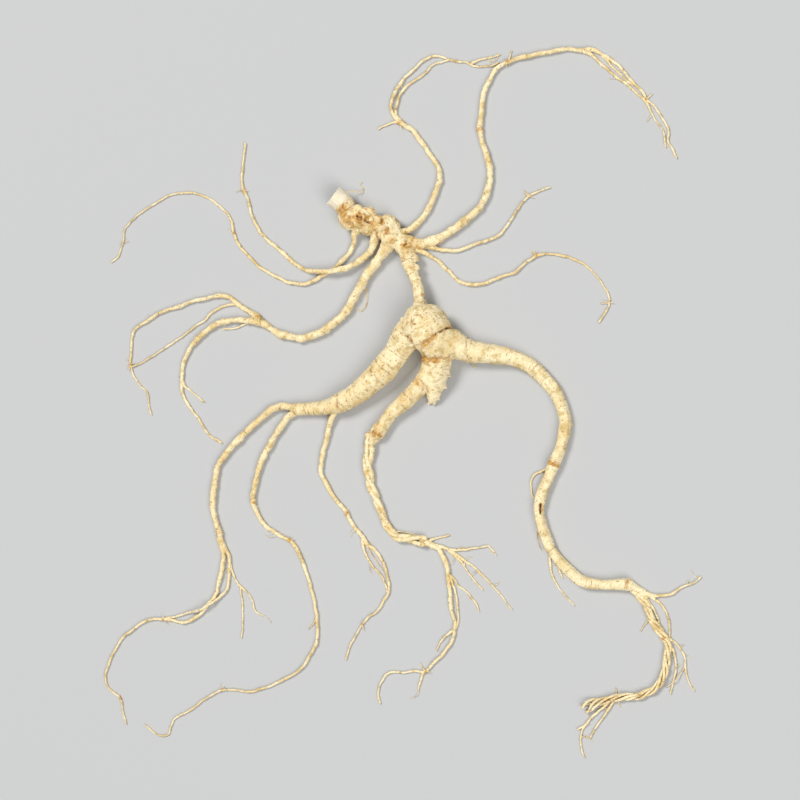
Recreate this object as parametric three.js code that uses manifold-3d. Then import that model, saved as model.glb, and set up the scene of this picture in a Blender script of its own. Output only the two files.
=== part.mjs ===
// A whole dried ginseng root lying flat: a knobbly rhizome with a cut stem stub, a thin neck, a forked body
// with three legs, and long side roots that end in fine rootlets. It grew as one piece, so it is one solid.
// Millimetres. +Z points up off the surface, +Y towards the rhizome, and the origin is on the flat spot
// under the body.
import * as THREE from "three";
import { mergeVertices } from "three/addons/utils/BufferGeometryUtils.js";
import Module from "manifold-3d";

// How the root lies
const REST_SPOT = [2, 4]; // the layout point, seen from above, that is over the origin
const PRESSED_SHARE = 0.1; // share of a thick root's radius that is pressed flat against the surface
const ROOTLET_CLEARANCE = 0.15; // a thin root's underside above the surface
const SURFACE_SIZE = 700;
const SURFACE_DEPTH = 40;

// How finely each kind of root is faceted
const THICK = { sides: 11, step: 2 };
const SLIM = { sides: 7, step: 4.2 };
const THIN = { sides: 5, step: 5.4 };
const FINE = { sides: 4, step: 6 };
const TWISTED = { sides: 12, step: 4 };
const THIN_FROM_RADIUS = 0.6;

// How thin roots taper: above 1, a root loses most of its thickness early
const ROOTLET_TAPER = 1.6;
const FINEST_RADIUS = 0.35;

// Ring wrinkles that run round the body and the legs
const RING_DEPTH = 0.25;
const RING_PITCH = 6;

// Thick roots, each a list of stations: x, y, radius and, where it stands off the surface, the lift
const BODY = [
  [-1.8, 15.4, 4.1, 1.5], [-1.6, 12, 7], [0.5, 8, 8.7], [2.5, 4, 8.7], [4.4, 0, 7.5], [4.6, -3.8, 6],
  [4.3, -7.6, 5.3], [3.8, -11.5, 4.4], [3.1, -15.4, 3.2], [1.7, -19, 2.3], [1.2, -21.4, 1.3],
];
const NECK = [
  [-12, 42, 3.6, 0.6], [-8, 36.5, 3.1, 0.9], [-7.1, 32.4, 2.7, 1.6], [-5.6, 28.4, 2.2, 2.4],
  [-3.9, 24.6, 2.05, 3.2], [-2.5, 20.7, 2.1, 4], [-2, 16.5, 2.3, 4.2], [-1, 12, 4.6, 3],
];
const LEFT_LEG = [
  [-1.5, 9, 6.4], [-6.6, 4.6, 6], [-11.6, -1.8, 5], [-16.5, -7.7, 4.9], [-22.4, -12.8, 4.4],
  [-28.3, -17, 4], [-34.7, -20.2, 3.8], [-41, -21.8, 2.8], [-49.2, -22.1, 2.4], [-53.2, -22.2, 2.3],
  [-56, -22, 1.6],
];
const MIDDLE_LEG = [
  [4, -4, 5], [2.3, -9, 4.5], [-1.6, -13.6, 3.6], [-8.5, -20.2, 3.1], [-13.4, -23.8, 2.7],
  [-17.3, -28.2, 2.5], [-20, -32.4, 2.5], [-21.6, -34.8, 1.7],
];
const RIGHT_LEG = [
  [4, 2.5, 6.5], [10, 0.5, 5.7], [16.2, -2.3, 4.4], [26.2, -4.1, 3.6], [34, -5.9, 3.1], [40.1, -9, 2.9],
  [45.2, -13.9, 2.8], [50, -20, 2.4], [52.6, -27.1, 2.3], [53, -31, 2.2], [51, -40.2, 2.1],
  [48.7, -45.3, 2.2], [46.7, -50.3, 1.9], [44.1, -56.2, 2], [42.7, -62, 2], [43.2, -66, 2],
  [45.2, -72, 2.1], [48.1, -78.2, 1.9], [54.6, -85.4, 2.1], [59, -88.8, 2.2], [64.4, -90, 1.9],
  [70.5, -90.2, 1.9], [76, -90.2, 2.2], [78.9, -91.7, 1.5], [81.7, -92.9, 1.2], [84.5, -94.3, 0.8],
];
const STEM_STUB = [
  [-37, 59.7, 4.1, 2.8], [-35, 58.1, 4, 1.9], [-32.9, 56.1, 4, 1.4], [-31, 52.5, 4.6, 0.6],
];

// Knobs of the rhizome: x, y and radius
const RHIZOME_KNOBS = [
  [-30, 50.7, 5.1], [-22.5, 48.9, 5.2], [-14.9, 46, 4.4], [-14.1, 41.2, 4], [-9.8, 38.8, 3.5],
];
const KNOB_SIDES = 11;
const KNOB_BANDS = 6;

// Side roots and rootlets: the radius at both ends, and the points, x, y and lift, along the middle line
const ROOTLETS = [
  // Side roots on the left of the rhizome
  [0.95, 0.28, [
    [-29.3, 47.5, 2.6], [-29.8, 44.2, 1.6], [-30.4, 41.6, 0.6], [-31.7, 38.7], [-33.7, 36.3],
    [-38.2, 32.2], [-44.3, 29.2], [-47.9, 27.5], [-51.4, 26.6], [-55, 27], [-60, 28.9], [-65.7, 31.8],
    [-70.7, 35.4], [-75.7, 40.4], [-79.3, 45], [-81.1, 48.6], [-81.8, 52.9], [-83.6, 56.1], [-87.1, 59.6],
    [-92.1, 63.2], [-97.1, 65.4], [-102.9, 65.9], [-109.3, 65.1], [-115.7, 62.1], [-121.4, 58.9],
    [-126, 55.7], [-128.1, 52.7], [-128.5, 49.3], [-129.3, 46], [-130.7, 42.3], [-134.3, 39.5],
  ]],
  [1.6, 0.4, [
    [-22.5, 46, 2], [-22.8, 41.7, 1.2], [-24, 38.7, 0.5], [-26.3, 36], [-29.7, 33.3, 0.6],
    [-33.7, 31.7, 1.6], [-39.3, 31, 2], [-44.3, 31.1, 1.7], [-50.7, 32.5, 0.4], [-55.7, 35.7],
    [-61.4, 40.4], [-66.4, 45], [-70.7, 50], [-73.2, 55.7], [-75, 61.4], [-76.4, 65], [-77.5, 69.3],
    [-77.3, 75], [-76.4, 80.7], [-76.2, 84.5],
  ]],
  [1.95, 1.25, [
    [-15, 41, 1.2], [-18.1, 37, 0.6], [-22.7, 31.5], [-26.7, 26.1], [-30.1, 20.1], [-33.5, 14.8],
    [-38.3, 10.8], [-43, 7.8], [-50, 5.6], [-57.1, 6.4], [-62.1, 8.2], [-67.1, 11.4], [-70.7, 14.3],
  ]],
  [1.05, 0.3, [
    [-68.5, 12.6], [-72.5, 16], [-80, 21.1], [-83.6, 23.4], [-87.9, 23.7], [-93.6, 23], [-100, 21.6],
    [-106.4, 19.6], [-113.6, 17.5], [-119.3, 14.3], [-123.6, 11.1], [-124.4, 7.9], [-124.6, 2.9],
    [-124.9, -1.4], [-123.6, -5.7], [-120.7, -10], [-117.1, -13.9], [-116.9, -18.3], [-115.5, -22.3],
  ]],
  [0.5, 0.3, [
    [-78.5, 20.2], [-81.5, 20.1], [-85.7, 19.6], [-90, 17.1], [-94.3, 13.6], [-101.4, 9.3], [-108.6, 4.6],
    [-115.7, 0.7], [-121.4, -2.1], [-125, -2.9, 0.5],
  ]],
  [1.4, 0.42, [
    [-68.5, 12.8], [-73.6, 13.2], [-80, 13.9], [-85.7, 13.2], [-91.4, 10.4], [-95.7, 6.8], [-99.3, 2.9],
    [-101.4, -1.4], [-102.3, -6.4], [-102.5, -11.4], [-101.4, -15.7], [-99, -19.5], [-96, -23.3],
    [-90.7, -30.9], [-85, -34.3],
  ]],
  [0.5, 0.28, [[-102.3, -9], [-101, -11.6], [-97.9, -13.9], [-92.9, -17.9]]],
  [0.4, 0.28, [[-74, 13], [-77.9, 11.6], [-81.5, 10.7], [-85.5, 10.6]]],

  // Side roots on the right of the rhizome
  [1.15, 0.95, [
    [-14, 44.5, 2], [-10.7, 44.8, 1.5], [-7.7, 45.5, 0.8], [-5, 47.3], [-2.3, 50], [0.3, 53.7], [2, 57],
    [3.4, 61.4], [4.3, 65.9], [3.2, 70.5], [0, 75], [-3.6, 80.5], [-6.4, 84.1], [-10, 86.4], [-12, 88],
  ]],
  [0.75, 0.33, [
    [-10.5, 86.8], [-12.5, 88.5], [-14.5, 90.7], [-15.5, 93.5], [-15.3, 96.2], [-13.1, 101],
    [-10.6, 104.4], [-7, 107.3], [-3.8, 110], [-1.1, 111.9], [1.6, 112.6], [4.8, 112.1], [7.1, 111.2],
    [10.7, 109.8], [14.4, 108.9], [18, 107.1], [21.6, 107.1], [25.7, 107.3], [28, 108.2],
  ]],
  [0.7, 0.33, [
    [-10.5, 86.8], [-11.8, 88.6], [-13, 90.7], [-13.2, 94.4], [-12.4, 97.5], [-10.2, 100.3],
    [-7.5, 102.6], [-4.3, 104.4], [-1.5, 106.4], [1.6, 109.4], [4.4, 110.3], [8.5, 110.6],
  ]],
  [0.45, 0.28, [[16, 108.2], [21.2, 110], [25.7, 110.5], [28.5, 111.2]]],
  [0.5, 0.28, [[-11.5, 87.6], [-15.6, 87.8], [-19.3, 86.6], [-20.9, 85.5]]],
  [1.6, 0.8, [
    [-13, 42, 1.5], [-10, 41.5, 1.2], [-4, 40.2, 0.4], [3.3, 41.2], [8.8, 43.8], [14.3, 47.4],
    [19.3, 51.6], [22.5, 56.3], [23.9, 61.4], [24.1, 66.8], [23, 72.3], [21.4, 77.7], [20.6, 82.3],
    [20.7, 88.6], [21.8, 95], [23.6, 100], [26.4, 104.5], [31.4, 107.7], [39.5, 109.4], [48.6, 110.5],
    [55.9, 110.7], [62.3, 109.5],
  ]],
  [0.75, 0.36, [
    [61, 109.8], [65, 109.5], [68.8, 107], [72.9, 104.3], [75.8, 101.3], [77.9, 98.4], [80.8, 95.1],
    [83.3, 92.2], [84.6, 89.3], [86.7, 87.2], [89.6, 83.6], [91.9, 79.3], [92.9, 76.3], [92.7, 73],
    [94.2, 69.3], [95.8, 66.1],
  ]],
  [0.65, 0.32, [
    [61, 109.5], [64.2, 107.6], [68.3, 103.8], [72.1, 100.1], [76.3, 96.3], [79.6, 93], [82.5, 90.1],
    [84.4, 88.3], [86.3, 84.7], [88.3, 80.9], [90.4, 77.6], [91, 74.3], [91.7, 70.5],
  ]],
  [0.45, 0.32, [[67.5, 107.8], [70.8, 104], [74.6, 99.7], [77.5, 96.8], [80.8, 94.6]]],
  [0.95, 0.34, [
    [-9, 40, 1.5], [-4.5, 39.4, 1], [0, 38.6, 0.3], [5.9, 37.2], [11.4, 36.4], [16.8, 38.2], [24.1, 40],
    [27.7, 41.8], [31.4, 45.9], [35, 50.9], [39.5, 55.7], [43.2, 57.3], [47.7, 58.6],
  ]],
  [0.9, 0.32, [
    [-8, 37.5, 1.5], [-4.5, 37.2, 1], [-1.4, 36, 0.3], [3.2, 33], [7.7, 28.6], [12.3, 24.5], [16.8, 23],
    [21.4, 23.2], [26.8, 25], [34.1, 27.3], [39.5, 31.4], [42.3, 33], [48.6, 33], [54.1, 31.8],
    [59.5, 29.1], [64.1, 25], [67.7, 20], [69.5, 15.9], [69.5, 12.3], [65.5, 6.4],
  ]],

  // Rootlets of the left leg
  [1.45, 1.1, [
    [-49.2, -21.9], [-55.2, -21.4], [-59.2, -20.9], [-62.2, -21.3], [-66.7, -23.8], [-70.2, -26.7],
    [-74.2, -30], [-78.7, -34.1], [-83.2, -38.8], [-86.6, -44.4], [-88.1, -51], [-88.5, -58.8],
    [-87.2, -64], [-85.5, -69.2], [-84.2, -74],
  ]],
  [0.9, 0.32, [
    [-85.8, -71], [-84.6, -75], [-84.1, -78.7], [-84.6, -83.9], [-86.3, -90], [-88, -94.3],
    [-90.7, -97.4], [-94.1, -100.9], [-100.2, -104], [-105.4, -103], [-109.8, -102.6], [-115, -103],
    [-119.8, -105.2], [-126.3, -109.6], [-129.8, -114.3], [-132.8, -120], [-134.1, -124.3],
    [-133.3, -128.3], [-129.3, -131.7], [-127.2, -133.5], [-126.7, -137.8], [-124.6, -143.5],
  ]],
  [0.7, 0.36, [
    [-85.8, -71], [-82.8, -76.1], [-81.5, -79.5], [-81.6, -87.4], [-82.8, -91.7], [-86.3, -94.8, 0.5],
    [-88.9, -96.8, 1.3], [-91.5, -98.2, 1.7], [-94.1, -99.1, 1.2], [-100.2, -100.6, 0.2],
    [-105.4, -101.7], [-109.4, -102.5],
  ]],
  [0.45, 0.28, [
    [-81.5, -79.5], [-80.7, -83], [-79.3, -87], [-77.2, -90], [-76.3, -94.3], [-75.9, -102.2],
    [-76.3, -110],
  ]],
  [0.4, 0.28, [[-78, -89], [-74.1, -92.6], [-72, -95.7], [-70.2, -99.6], [-67.2, -101.3]]],
  [1.4, 0.28, [
    [-49.4, -22.5], [-53.4, -22.9], [-56.9, -24.9], [-59.4, -27.6], [-61.7, -31.1], [-64.4, -35.5],
    [-67.9, -41.4], [-70.1, -47.5], [-71.2, -53.6], [-71.6, -57.9], [-69.6, -61.8], [-66.3, -67],
    [-61.1, -70.4], [-56.7, -72.6], [-53.3, -76.1], [-50.2, -83], [-47.6, -90.4], [-46.1, -97],
    [-45.3, -103.9], [-45.4, -110.9], [-47.6, -116.1], [-50.7, -120.4], [-55, -123.9], [-60.2, -126.5],
    [-68.9, -129.6], [-75, -130.2], [-84.1, -129.6], [-90.7, -133], [-97.6, -137.8], [-103.7, -140.9],
    [-105.4, -143.9], [-106.7, -147], [-110.7, -147.4], [-116.7, -143.5],
  ]],
  [1.1, 0.78, [
    [-36.1, -20.5, 1.5], [-37.6, -24.5, 1.1], [-40.1, -29, 0.3], [-41.6, -35], [-43.1, -40], [-43.6, -45],
    [-43.2, -47.5], [-41.6, -51.2], [-37.6, -56.8], [-33.6, -62], [-32, -64.8], [-28.8, -68.8],
    [-24.8, -74],
  ]],
  [0.7, 0.32, [
    [-26.8, -72], [-24, -75], [-22, -76.4], [-19.6, -79.2], [-17.6, -83.2], [-16.6, -87.2],
    [-16.6, -92.8], [-18, -95.2], [-20.4, -99.2], [-25.2, -102.8], [-26.8, -104.4], [-29.2, -108],
    [-31.6, -112.8], [-33.6, -118],
  ]],
  [0.5, 0.3, [
    [-26.8, -72], [-26.6, -75.2], [-24.8, -79.2], [-22, -83.2], [-19.2, -86.6], [-17.4, -90.5],
    [-16.8, -93],
  ]],

  // Rootlets of the middle leg
  [1.25, 1.1, [[-23.4, -36.5], [-24.1, -34], [-24.4, -31.6]]],
  [1.05, 0.32, [
    [-3, -73.4], [1.5, -75], [4.4, -77.6], [6.8, -83.2], [7.2, -88], [8.4, -93.6], [8.8, -99.2],
    [10, -104], [9.2, -108.8], [6, -114.4], [1.2, -119.2], [-1.6, -122], [-6, -122], [-10, -122.4],
    [-16.4, -122.8], [-19.2, -125.6], [-20.6, -129.6], [-19.6, -134.4],
  ]],
  [0.5, 0.32, [[7.1, -85.5], [8.9, -88.8], [10.8, -96], [11.2, -102.4], [10, -106.5]]],
  [0.45, 0.28, [[9.6, -106.5], [6, -108.8], [2.4, -114.4]]],
  [0.45, 0.28, [[-2.6, -121.8], [-3.6, -124.8], [-4.8, -129.2]]],
  [0.45, 0.28, [[7, -85.5], [9.2, -87.4], [12, -91], [15.6, -93.6], [18, -96.8], [19.2, -100]]],
  [0.8, 0.55, [[-3, -73.4], [2, -74.8], [6.8, -76.4], [9.4, -78.8]]],
  [0.5, 0.28, [
    [5, -75.8], [9, -77], [13.2, -76.8], [18.8, -76], [22.8, -75.4], [24.4, -76.8], [26, -79.2],
  ]],
  [0.6, 0.28, [[7.6, -77], [12.4, -80], [18, -84], [23.6, -89.2], [27.6, -94], [32, -99.2]]],
  [0.45, 0.28, [[9, -78], [13, -82.2], [16, -86.4], [20.8, -92]]],
  [0.45, 0.28, [[-2, -73.8], [2, -72.6], [8, -71.2]]],

  // Rootlets of the right leg
  [0.75, 0.3, [
    [81.5, -92.8], [84.6, -94], [88.2, -93.9], [91.5, -93.7], [94.9, -91.7], [99.6, -89.6],
    [102.7, -87.4],
  ]],
  [0.55, 0.32, [[82, -93.2], [84.9, -95], [87.7, -96.7], [89.6, -100], [90.7, -104.1], [90.8, -109.8]]],
  [0.5, 0.32, [[81.5, -93.5], [85.3, -99.4], [86.8, -102.4], [87.4, -106]]],
  [0.5, 0.28, [
    [88.2, -107.6], [91, -109.8], [94.4, -113.1], [96.3, -116.5], [96.5, -121.2], [97.5, -124.6],
    [99.6, -128.4],
  ]],
  [0.45, 0.28, [[89.8, -111], [92.5, -114.6], [92.9, -121.2], [91.6, -125.5], [90.8, -129.6]]],
  [0.5, 0.28, [
    [70, -131], [66.3, -134.1], [62.5, -137.4], [59.9, -140.8], [58, -143.1], [57.8, -149.8],
    [59, -152.7],
  ]],
  [0.45, 0.28, [[71, -131], [68, -134.8], [65.3, -138.6], [62.6, -142.4], [61, -145.8]]],
  [0.4, 0.28, [[60.4, -140], [58.7, -141.4], [56, -142.7]]],
  [0.4, 0.28, [[47, -46.5], [44.4, -47.8], [40.4, -49.6], [39.4, -53.5], [40, -57], [42, -59]]],
  [0.45, 0.28, [[47, -77], [46.4, -81], [47.4, -86.5], [49.6, -90.9], [52.6, -94.3], [55.7, -97.8]]],
  [0.4, 0.28, [[49.5, -80.5], [49.8, -84], [51.3, -87.8]]],
];

// Bundles of strands grown into one twisted root: the radius at both ends, number of strands,
// turns and the points
const BUNDLES = [
  [2.1, 1.5, 3, 2.5, [
    [-19, -30], [-21.2, -33], [-23.2, -36], [-24, -40], [-24.4, -44], [-24.1, -48], [-23, -52],
    [-21.5, -56], [-20, -60], [-18.3, -64], [-16.5, -67.5], [-13.5, -71], [-9.5, -72.3], [-4, -73],
    [-1, -73.8],
  ]],
  [1.4, 1.2, 4, 4, [
    [77.5, -91], [80.6, -95], [83, -98.4], [84.2, -102.2], [86.3, -105.5], [88.7, -108.9], [90.1, -111.7],
    [89.8, -116.5], [89.4, -120.3], [88.2, -123.6], [85.3, -127.2], [82.5, -128.9], [79.6, -130.3],
    [74.9, -130.5], [71, -131], [68.2, -131.5], [64.9, -132.4], [61.5, -133.6], [58.7, -135.5],
  ]],
];
const STRAND_RELIEF = 0.22; // how far each strand stands out, as a share of the bundle's radius

const ROOT_COLOUR = 0xe9d39d;
const ROOT_ROUGHNESS = 0.72;

const wasm = await Module();
wasm.setup();

// A closed geometry as a solid that can be joined and cut.
function solidFrom(geometry) {
  geometry.deleteAttribute("normal");
  geometry.deleteAttribute("uv");
  const merged = mergeVertices(geometry);
  const vertProperties = new Float32Array(merged.attributes.position.array);
  const triVerts = new Uint32Array(merged.index.array);
  return new wasm.Manifold(new wasm.Mesh({ numProp: 3, vertProperties, triVerts }));
}

// Even stations along a smooth curve through the given middle points, with the radius at each.
function resample(middles, radii, step) {
  const curve = new THREE.CatmullRomCurve3(middles);
  const length = curve.getLength();
  const steps = Math.max(2, Math.round(length / step));
  return Array.from({ length: steps + 1 }, (_, index) => {
    const t = curve.getUtoTmapping(index / steps);
    const place = t * (middles.length - 1);
    const span = Math.min(Math.floor(place), middles.length - 2);
    const radius = THREE.MathUtils.lerp(radii[span], radii[span + 1], place - span);
    return { point: curve.getPoint(t), radius, along: (length * index) / steps };
  });
}

// A closed root: a cylinder whose rings are moved onto the stations, square to the middle line. The outline
// gives the radius, as a share of the station's own, at each angle of each station.
function rootThrough(stations, sides, outline = () => 1) {
  const steps = stations.length - 1;
  const geometry = new THREE.CylinderGeometry(1, 1, 1, sides, steps);
  const frames = stations.map((_, index) => {
    const before = stations[Math.max(index - 1, 0)].point;
    const after = stations[Math.min(index + 1, steps)].point;
    const forward = after.clone().sub(before).normalize();
    const across = forward.clone().cross(new THREE.Vector3(0, 0, 1)).normalize();
    return { across, up: across.clone().cross(forward) };
  });
  const position = geometry.attributes.position;
  for (let i = 0; i < position.count; i += 1) {
    const ring = Math.round((position.getY(i) + 0.5) * steps);
    const station = stations[ring];
    const angle = Math.atan2(position.getZ(i), position.getX(i));
    const radius = station.radius * outline(angle, station);
    const moved = station.point.clone();
    moved.addScaledVector(frames[ring].across, position.getX(i) * radius);
    moved.addScaledVector(frames[ring].up, position.getZ(i) * radius);
    position.setXYZ(i, moved.x, moved.y, moved.z);
  }
  return solidFrom(geometry);
}

// A thick root, pressed a little into the surface and ringed with shallow wrinkles.
function thickRoot(layout, facets, ringDepth) {
  const middles = layout.map(([x, y, radius, lift = 0]) =>
    new THREE.Vector3(x, y, radius * (1 - PRESSED_SHARE) + lift));
  const stations = resample(middles, layout.map(([, , radius]) => radius), facets.step);
  for (const station of stations) {
    station.radius += ringDepth * Math.sin((station.along * Math.PI * 2) / RING_PITCH);
  }
  return rootThrough(stations, facets.sides);
}

// The radius at each of the points of a thin root.
function taper(startRadius, endRadius, points) {
  return points.map((_, index) => {
    const left = (1 - index / (points.length - 1)) ** ROOTLET_TAPER;
    return Math.max(THREE.MathUtils.lerp(endRadius, startRadius, left), FINEST_RADIUS);
  });
}

// A thin root that lies just clear of the surface and tapers from one end to the other.
function rootlet([startRadius, endRadius, points]) {
  const radii = taper(startRadius, endRadius, points);
  const middles = points.map(([x, y, lift = 0], index) =>
    new THREE.Vector3(x, y, radii[index] + ROOTLET_CLEARANCE + lift));
  const facets = startRadius < THIN_FROM_RADIUS ? FINE : THIN;
  return rootThrough(resample(middles, radii, facets.step), facets.sides);
}

// Strands wound round one middle line, as one root whose lobes turn along its length.
function bundle([startRadius, endRadius, strands, turns, points]) {
  const radii = taper(startRadius, endRadius, points);
  const middles = points.map(([x, y], index) =>
    new THREE.Vector3(x, y, radii[index] * (1 + STRAND_RELIEF) + ROOTLET_CLEARANCE));
  const stations = resample(middles, radii, TWISTED.step);
  const length = stations[stations.length - 1].along;
  const outline = (angle, station) => {
    const turn = (turns * Math.PI * 2 * station.along) / length;
    return 1 + STRAND_RELIEF * Math.cos(strands * (angle - turn));
  };
  return rootThrough(stations, TWISTED.sides, outline);
}

// A round knob that sits on the surface, pressed a little into it.
function knob([x, y, radius]) {
  const geometry = new THREE.SphereGeometry(radius, KNOB_SIDES, KNOB_BANDS);
  geometry.translate(x, y, radius * (1 - PRESSED_SHARE));
  return solidFrom(geometry);
}

// Everything below the surface, which presses flats on what rests on it.
function underSurface() {
  const geometry = new THREE.BoxGeometry(SURFACE_SIZE, SURFACE_SIZE, SURFACE_DEPTH);
  geometry.translate(0, 0, -SURFACE_DEPTH / 2);
  return solidFrom(geometry);
}

function rootGeometry() {
  const grown = [
    thickRoot(BODY, THICK, RING_DEPTH),
    thickRoot(LEFT_LEG, THICK, RING_DEPTH),
    thickRoot(MIDDLE_LEG, THICK, RING_DEPTH),
    thickRoot(RIGHT_LEG, SLIM, 0),
    thickRoot(NECK, SLIM, 0),
    thickRoot(STEM_STUB, THICK, 0),
    ...RHIZOME_KNOBS.map(knob),
    ...ROOTLETS.map(rootlet),
    ...BUNDLES.map(bundle),
  ];
  const whole = grown.reduce((joined, piece) => joined.add(piece)).subtract(underSurface());
  const { vertProperties, triVerts } = whole.getMesh();
  const geometry = new THREE.BufferGeometry();
  geometry.setAttribute("position", new THREE.BufferAttribute(vertProperties, 3));
  geometry.setIndex(new THREE.BufferAttribute(triVerts, 1));
  geometry.translate(-REST_SPOT[0], -REST_SPOT[1], 0);
  geometry.computeVertexNormals();
  return geometry;
}

const root = new THREE.Mesh(
  rootGeometry(),
  new THREE.MeshStandardMaterial({ color: ROOT_COLOUR, roughness: ROOT_ROUGHNESS, metalness: 0 }),
);
root.name = "ginseng_root";

const part = new THREE.Group();
part.add(root);

export default part;
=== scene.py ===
import math
import random

import bmesh
import bpy
import numpy as np
from mathutils import Matrix, Vector, noise
from mathutils.kdtree import KDTree


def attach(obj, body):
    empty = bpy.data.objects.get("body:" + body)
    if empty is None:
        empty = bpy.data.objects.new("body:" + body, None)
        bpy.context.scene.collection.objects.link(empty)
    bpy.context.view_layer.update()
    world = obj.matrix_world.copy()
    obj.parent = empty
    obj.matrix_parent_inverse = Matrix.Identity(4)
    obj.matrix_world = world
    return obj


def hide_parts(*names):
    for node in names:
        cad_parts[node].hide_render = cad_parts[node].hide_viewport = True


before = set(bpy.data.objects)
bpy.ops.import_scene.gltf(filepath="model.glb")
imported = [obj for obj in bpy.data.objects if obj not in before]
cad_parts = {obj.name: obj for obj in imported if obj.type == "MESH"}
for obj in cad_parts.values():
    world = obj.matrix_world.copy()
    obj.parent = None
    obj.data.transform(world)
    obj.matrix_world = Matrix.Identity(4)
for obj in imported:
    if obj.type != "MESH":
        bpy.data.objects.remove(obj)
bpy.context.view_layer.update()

# A whole dried ginseng root lying flat. Places and sizes are millimetres in the layout of the root seen from
# above, and REST_SPOT is the layout point over the origin.
MM = 0.001
REST_SPOT = (2, 4, 0)
PRESSED_SHARE = 0.1  # share of a thick root's radius that is pressed flat against the surface
ROOTLET_CLEARANCE = 0.15  # a thin root's underside above the surface
ROOTLET_TAPER = 1.6  # above 1, a thin root loses most of its thickness early
SEED = 7

# How finely the skin is meshed
BODY_VOXEL = 0.305
RHIZOME_VOXEL = 0.24
SKIN_SMOOTHING = 5
BLOCK = 3000  # points measured at a time
CURVE_SAMPLES = 16  # samples of the smooth curve between two points of a route
FEWEST_RINGS = 4
DEEPEST_INSET = 0.95  # below 1, a rounded end does not close to a point
THICK_STEP = 0.6
THICK_SIDES = 32
ROOTLET_STEP = 0.42
ROOTLET_SIDES = 12
STOUT_SIDES = 16
STOUT_FROM_RADIUS = 1.2
HAIR_STEP = 0.4
HAIR_SIDES = 7
FEWEST_FACES = 40  # of a rootlet

# How the skin of two thick roots flows together at a fork
FORK_PASSES = 5
FORK_SHARE = (0.12, 1)  # how far a fork is filled, on its sides and on top, by the thinner root's radius
FORK_LEAST_REACH = 0.01
FORK_SMOOTHING = 14

# The camera's place in the part's frame, and what it looks at
CAMERA_SPOT = (0.246, -0.107, 0.773)
CAMERA_TARGET = (-0.013, -0.024, 0.003)
CAMERA_UP = (0, 1, 0)
CAMERA_LENS = 97

# Lights: the place in the part's frame, how wide, how strong and the colour
LIGHTS = {
    "key": ((-1.3, 1.25, 2.7), 1.3, 74, (1, 0.97, 0.91)),
    "fill": ((1.6, -1.4, 2.2), 2, 58, (1, 0.98, 0.94)),
}
SKY_COLOUR = (0.92, 0.95, 1, 1)
SKY_STRENGTH = 0.32

# Thick roots, each a list of stations: x, y, radius and, where it stands off the surface, the lift
THICK_ROOTS = {
    "body": [
        (-2, 15.4, 4.3, 1.4), (-1.8, 12.1, 7.1), (0.5, 8, 8.7), (2.5, 4, 8.7), (4.4, 0, 7.5), (4.6, -3.8, 6),
        (4.3, -7.6, 5.3), (3.8, -11.5, 4.4), (3.1, -15.4, 3.2), (1.7, -19, 2.3), (1.2, -21.4, 1.3),
    ],
    "neck": [
        (-12, 42, 3.6, 0.6), (-8, 36.5, 3.1, 0.9), (-7.1, 32.4, 2.7, 1.6), (-5.6, 28.4, 2.2, 2.4),
        (-3.9, 24.6, 2.05, 3.2), (-2.5, 20.7, 2.1, 4), (-2, 16.5, 2.3, 4.2), (-1, 12, 4.6, 3),
    ],
    "left_leg": [
        (-1.5, 9, 6.4), (-6.6, 4.6, 6), (-11.6, -1.8, 5), (-16.5, -7.7, 4.9), (-22.4, -12.8, 4.4),
        (-28.3, -17, 4), (-34.7, -20.2, 3.8), (-41, -21.8, 2.8), (-49.2, -22.1, 2.4), (-53.2, -22.2, 2.3),
        (-56, -22, 1.6),
    ],
    "middle_leg": [
        (4, -4, 5), (2.3, -9, 4.5), (-1.6, -13.6, 3.6), (-8.5, -20.2, 3.1), (-13.4, -23.8, 2.7),
        (-17.3, -28.2, 2.5), (-20, -32.4, 2.5), (-21.6, -34.8, 1.7),
    ],
    "right_leg": [
        (4, 2.5, 6.5), (10, 0.5, 5.7), (16.2, -2.3, 4.4), (26.2, -4.1, 3.6), (34, -5.9, 3.1),
        (40.1, -9, 2.9), (45.2, -13.9, 2.8), (50, -20, 2.4), (52.6, -27.1, 2.3), (53, -31, 2.2),
        (51, -40.2, 2.1), (48.7, -45.3, 2.2), (46.7, -50.3, 1.9), (44.1, -56.2, 2), (42.7, -62, 2),
        (43.2, -66, 2), (45.2, -72, 2.1), (48.1, -78.2, 1.9), (54.6, -85.4, 2.1), (59, -88.8, 2.2),
        (64.4, -90, 1.9), (70.5, -90.2, 1.9), (76, -90.2, 2.2), (78.9, -91.7, 1.5), (81.7, -92.9, 1.2),
        (84.5, -94.3, 0.8),
    ],
    "stub": [
        (-37, 59.7, 4.1, 2.8), (-35, 58.1, 4, 1.9), (-32.9, 56.1, 4, 1.4), (-31, 52.5, 4.6, 0.6),
    ],
    "rhizome": [(-30, 50.7, 4), (-22.5, 48.9, 3.6), (-14.9, 45.5, 3.6), (-11, 39.5, 3.2)],
    "hub": [(-13, 42, 3.2), (-8, 40.5, 2.8), (-3, 39.6, 2), (2, 40.2, 1.6), (6, 41.8, 1.3)],
}
BODY_ROOTS = ("body", "left_leg", "middle_leg", "right_leg")
RHIZOME_ROOTS = ("neck", "stub", "rhizome", "hub")
CUT_ROOT = "stub"

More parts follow.
